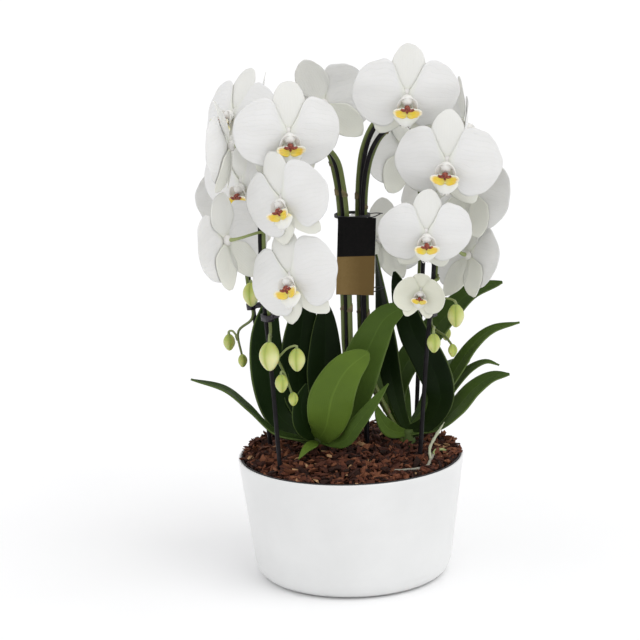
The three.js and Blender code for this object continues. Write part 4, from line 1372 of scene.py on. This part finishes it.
def make_tag(card):
    shape = placed(TAG_MIDDLE, TAG_SIZE, Matrix.Rotation(math.radians(TAG_TILT), 4, "Y"))
    mesh = new_mesh()
    bmesh.ops.create_cube(mesh, size=1, matrix=shape)
    bmesh.ops.bevel(
        mesh, geom=mesh.edges, offset=0.25, affect="EDGES", segments=2, profile=0.5, material=-1,
    )
    finish_piece("hang_card", mesh, [card], ["tag"], smooth=False)


def bumpy(share):
    return 1.55 + 0.18 * math.sin(share * 37) + 0.1 * math.sin(share * 91)


def thin_at_start(share):
    return bumpy(share) * mix(0.6, 1, ease(0, 0.5, share))


def thin_at_tip(share):
    return bumpy(share) * mix(1, 0.3, ease(0.7, 1, share))


def make_root(skin):
    mesh = new_mesh()
    rod(mesh, Path(LYING_ROOT), thin_at_start, 10, 60, tone=0.05)
    rod(mesh, Path(RISING_ROOT), thin_at_tip, 12, 60, tone=0.4)
    rod(mesh, Path(DIPPING_ROOT), bumpy, 10, 30, tone=0.9)
    finish_piece("hanging_root", mesh, [skin], ["aerial_root"])


# The stage: floor, lights and camera


def make_floor():
    mesh = new_mesh()
    bmesh.ops.create_circle(mesh, cap_ends=True, segments=96, radius=FLOOR_RADIUS)
    floor = new_object("floor", mesh, [floor_material()])


def make_lights():
    world = bpy.data.worlds.new("studio")
    world.use_nodes = True
    surround = world.node_tree.nodes["Background"]
    surround.inputs["Color"].default_value = SURROUND
    surround.inputs["Strength"].default_value = SURROUND_STRENGTH
    bpy.context.scene.world = world
    for name, sun in SUNS.items():
        light = bpy.data.lights.new(name, "SUN")
        light.energy = sun["strength"]
        light.angle = math.radians(sun["spread"])
        lamp = bpy.data.objects.new(name, light)
        lamp.rotation_euler = Vector(sun["towards"]).to_track_quat("-Z", "Y").to_euler()
        bpy.context.collection.objects.link(lamp)


def make_camera():
    data = bpy.data.cameras.new("camera")
    data.lens = CAMERA_LENS
    data.sensor_width = SENSOR_WIDTH
    data.clip_end = 100
    camera = bpy.data.objects.new("camera", data)
    lift = math.radians(CAMERA_ELEVATION)
    back = Vector((0, -math.cos(lift), math.sin(lift)))
    camera.location = (Vector(CAMERA_AIM) + back * CAMERA_DISTANCE) * MM
    level = (-back).to_track_quat("-Z", "Y").to_matrix()
    camera.rotation_euler = (level @ Matrix.Rotation(math.radians(-CAMERA_ROLL), 3, "Z")).to_euler()
    bpy.context.collection.objects.link(camera)
    bpy.context.scene.camera = camera


def make_orchid():
    petal, column = petal_material(), column_material()
    lobes, tongue, callus = side_lobe_material(), middle_lobe_material(), callus_material()
    for index, a_bloom in enumerate(BLOOMS):
        make_bloom(a_bloom, index, petal, column)
        make_lip(a_bloom, lobes, tongue, callus, column)
    make_hoops(wire_material())
    spray_materials = [stem_material(), bud_material(), bract_material()]
    for name in STEMS:
        make_spray(name, spray_materials)
    top = leaf_material()
    for side in PLANTS:
        make_plant(side, top)
    make_bark(bark_material())
    make_liner(moulded_material("liner_plastic", (0.012, 0.011, 0.012), (0.03, 0.028, 0.03), 0.5))
    make_pot(pot_material())
    clip = moulded_material("clip_plastic", (0.008, 0.005, 0.01), (0.02, 0.012, 0.024), 0.35)
    for name in CLIP_HEIGHTS:
        make_clip(name, clip)
    string = moulded_material("string", (0.01, 0.01, 0.012), (0.03, 0.03, 0.034), 0.45)
    for name in TIES:
        make_tie(name, string)
    make_tag(tag_material())
    make_root(root_material())


make_orchid()
make_floor()
make_lights()
make_camera()
bpy.context.scene.view_settings.view_transform = "Standard"
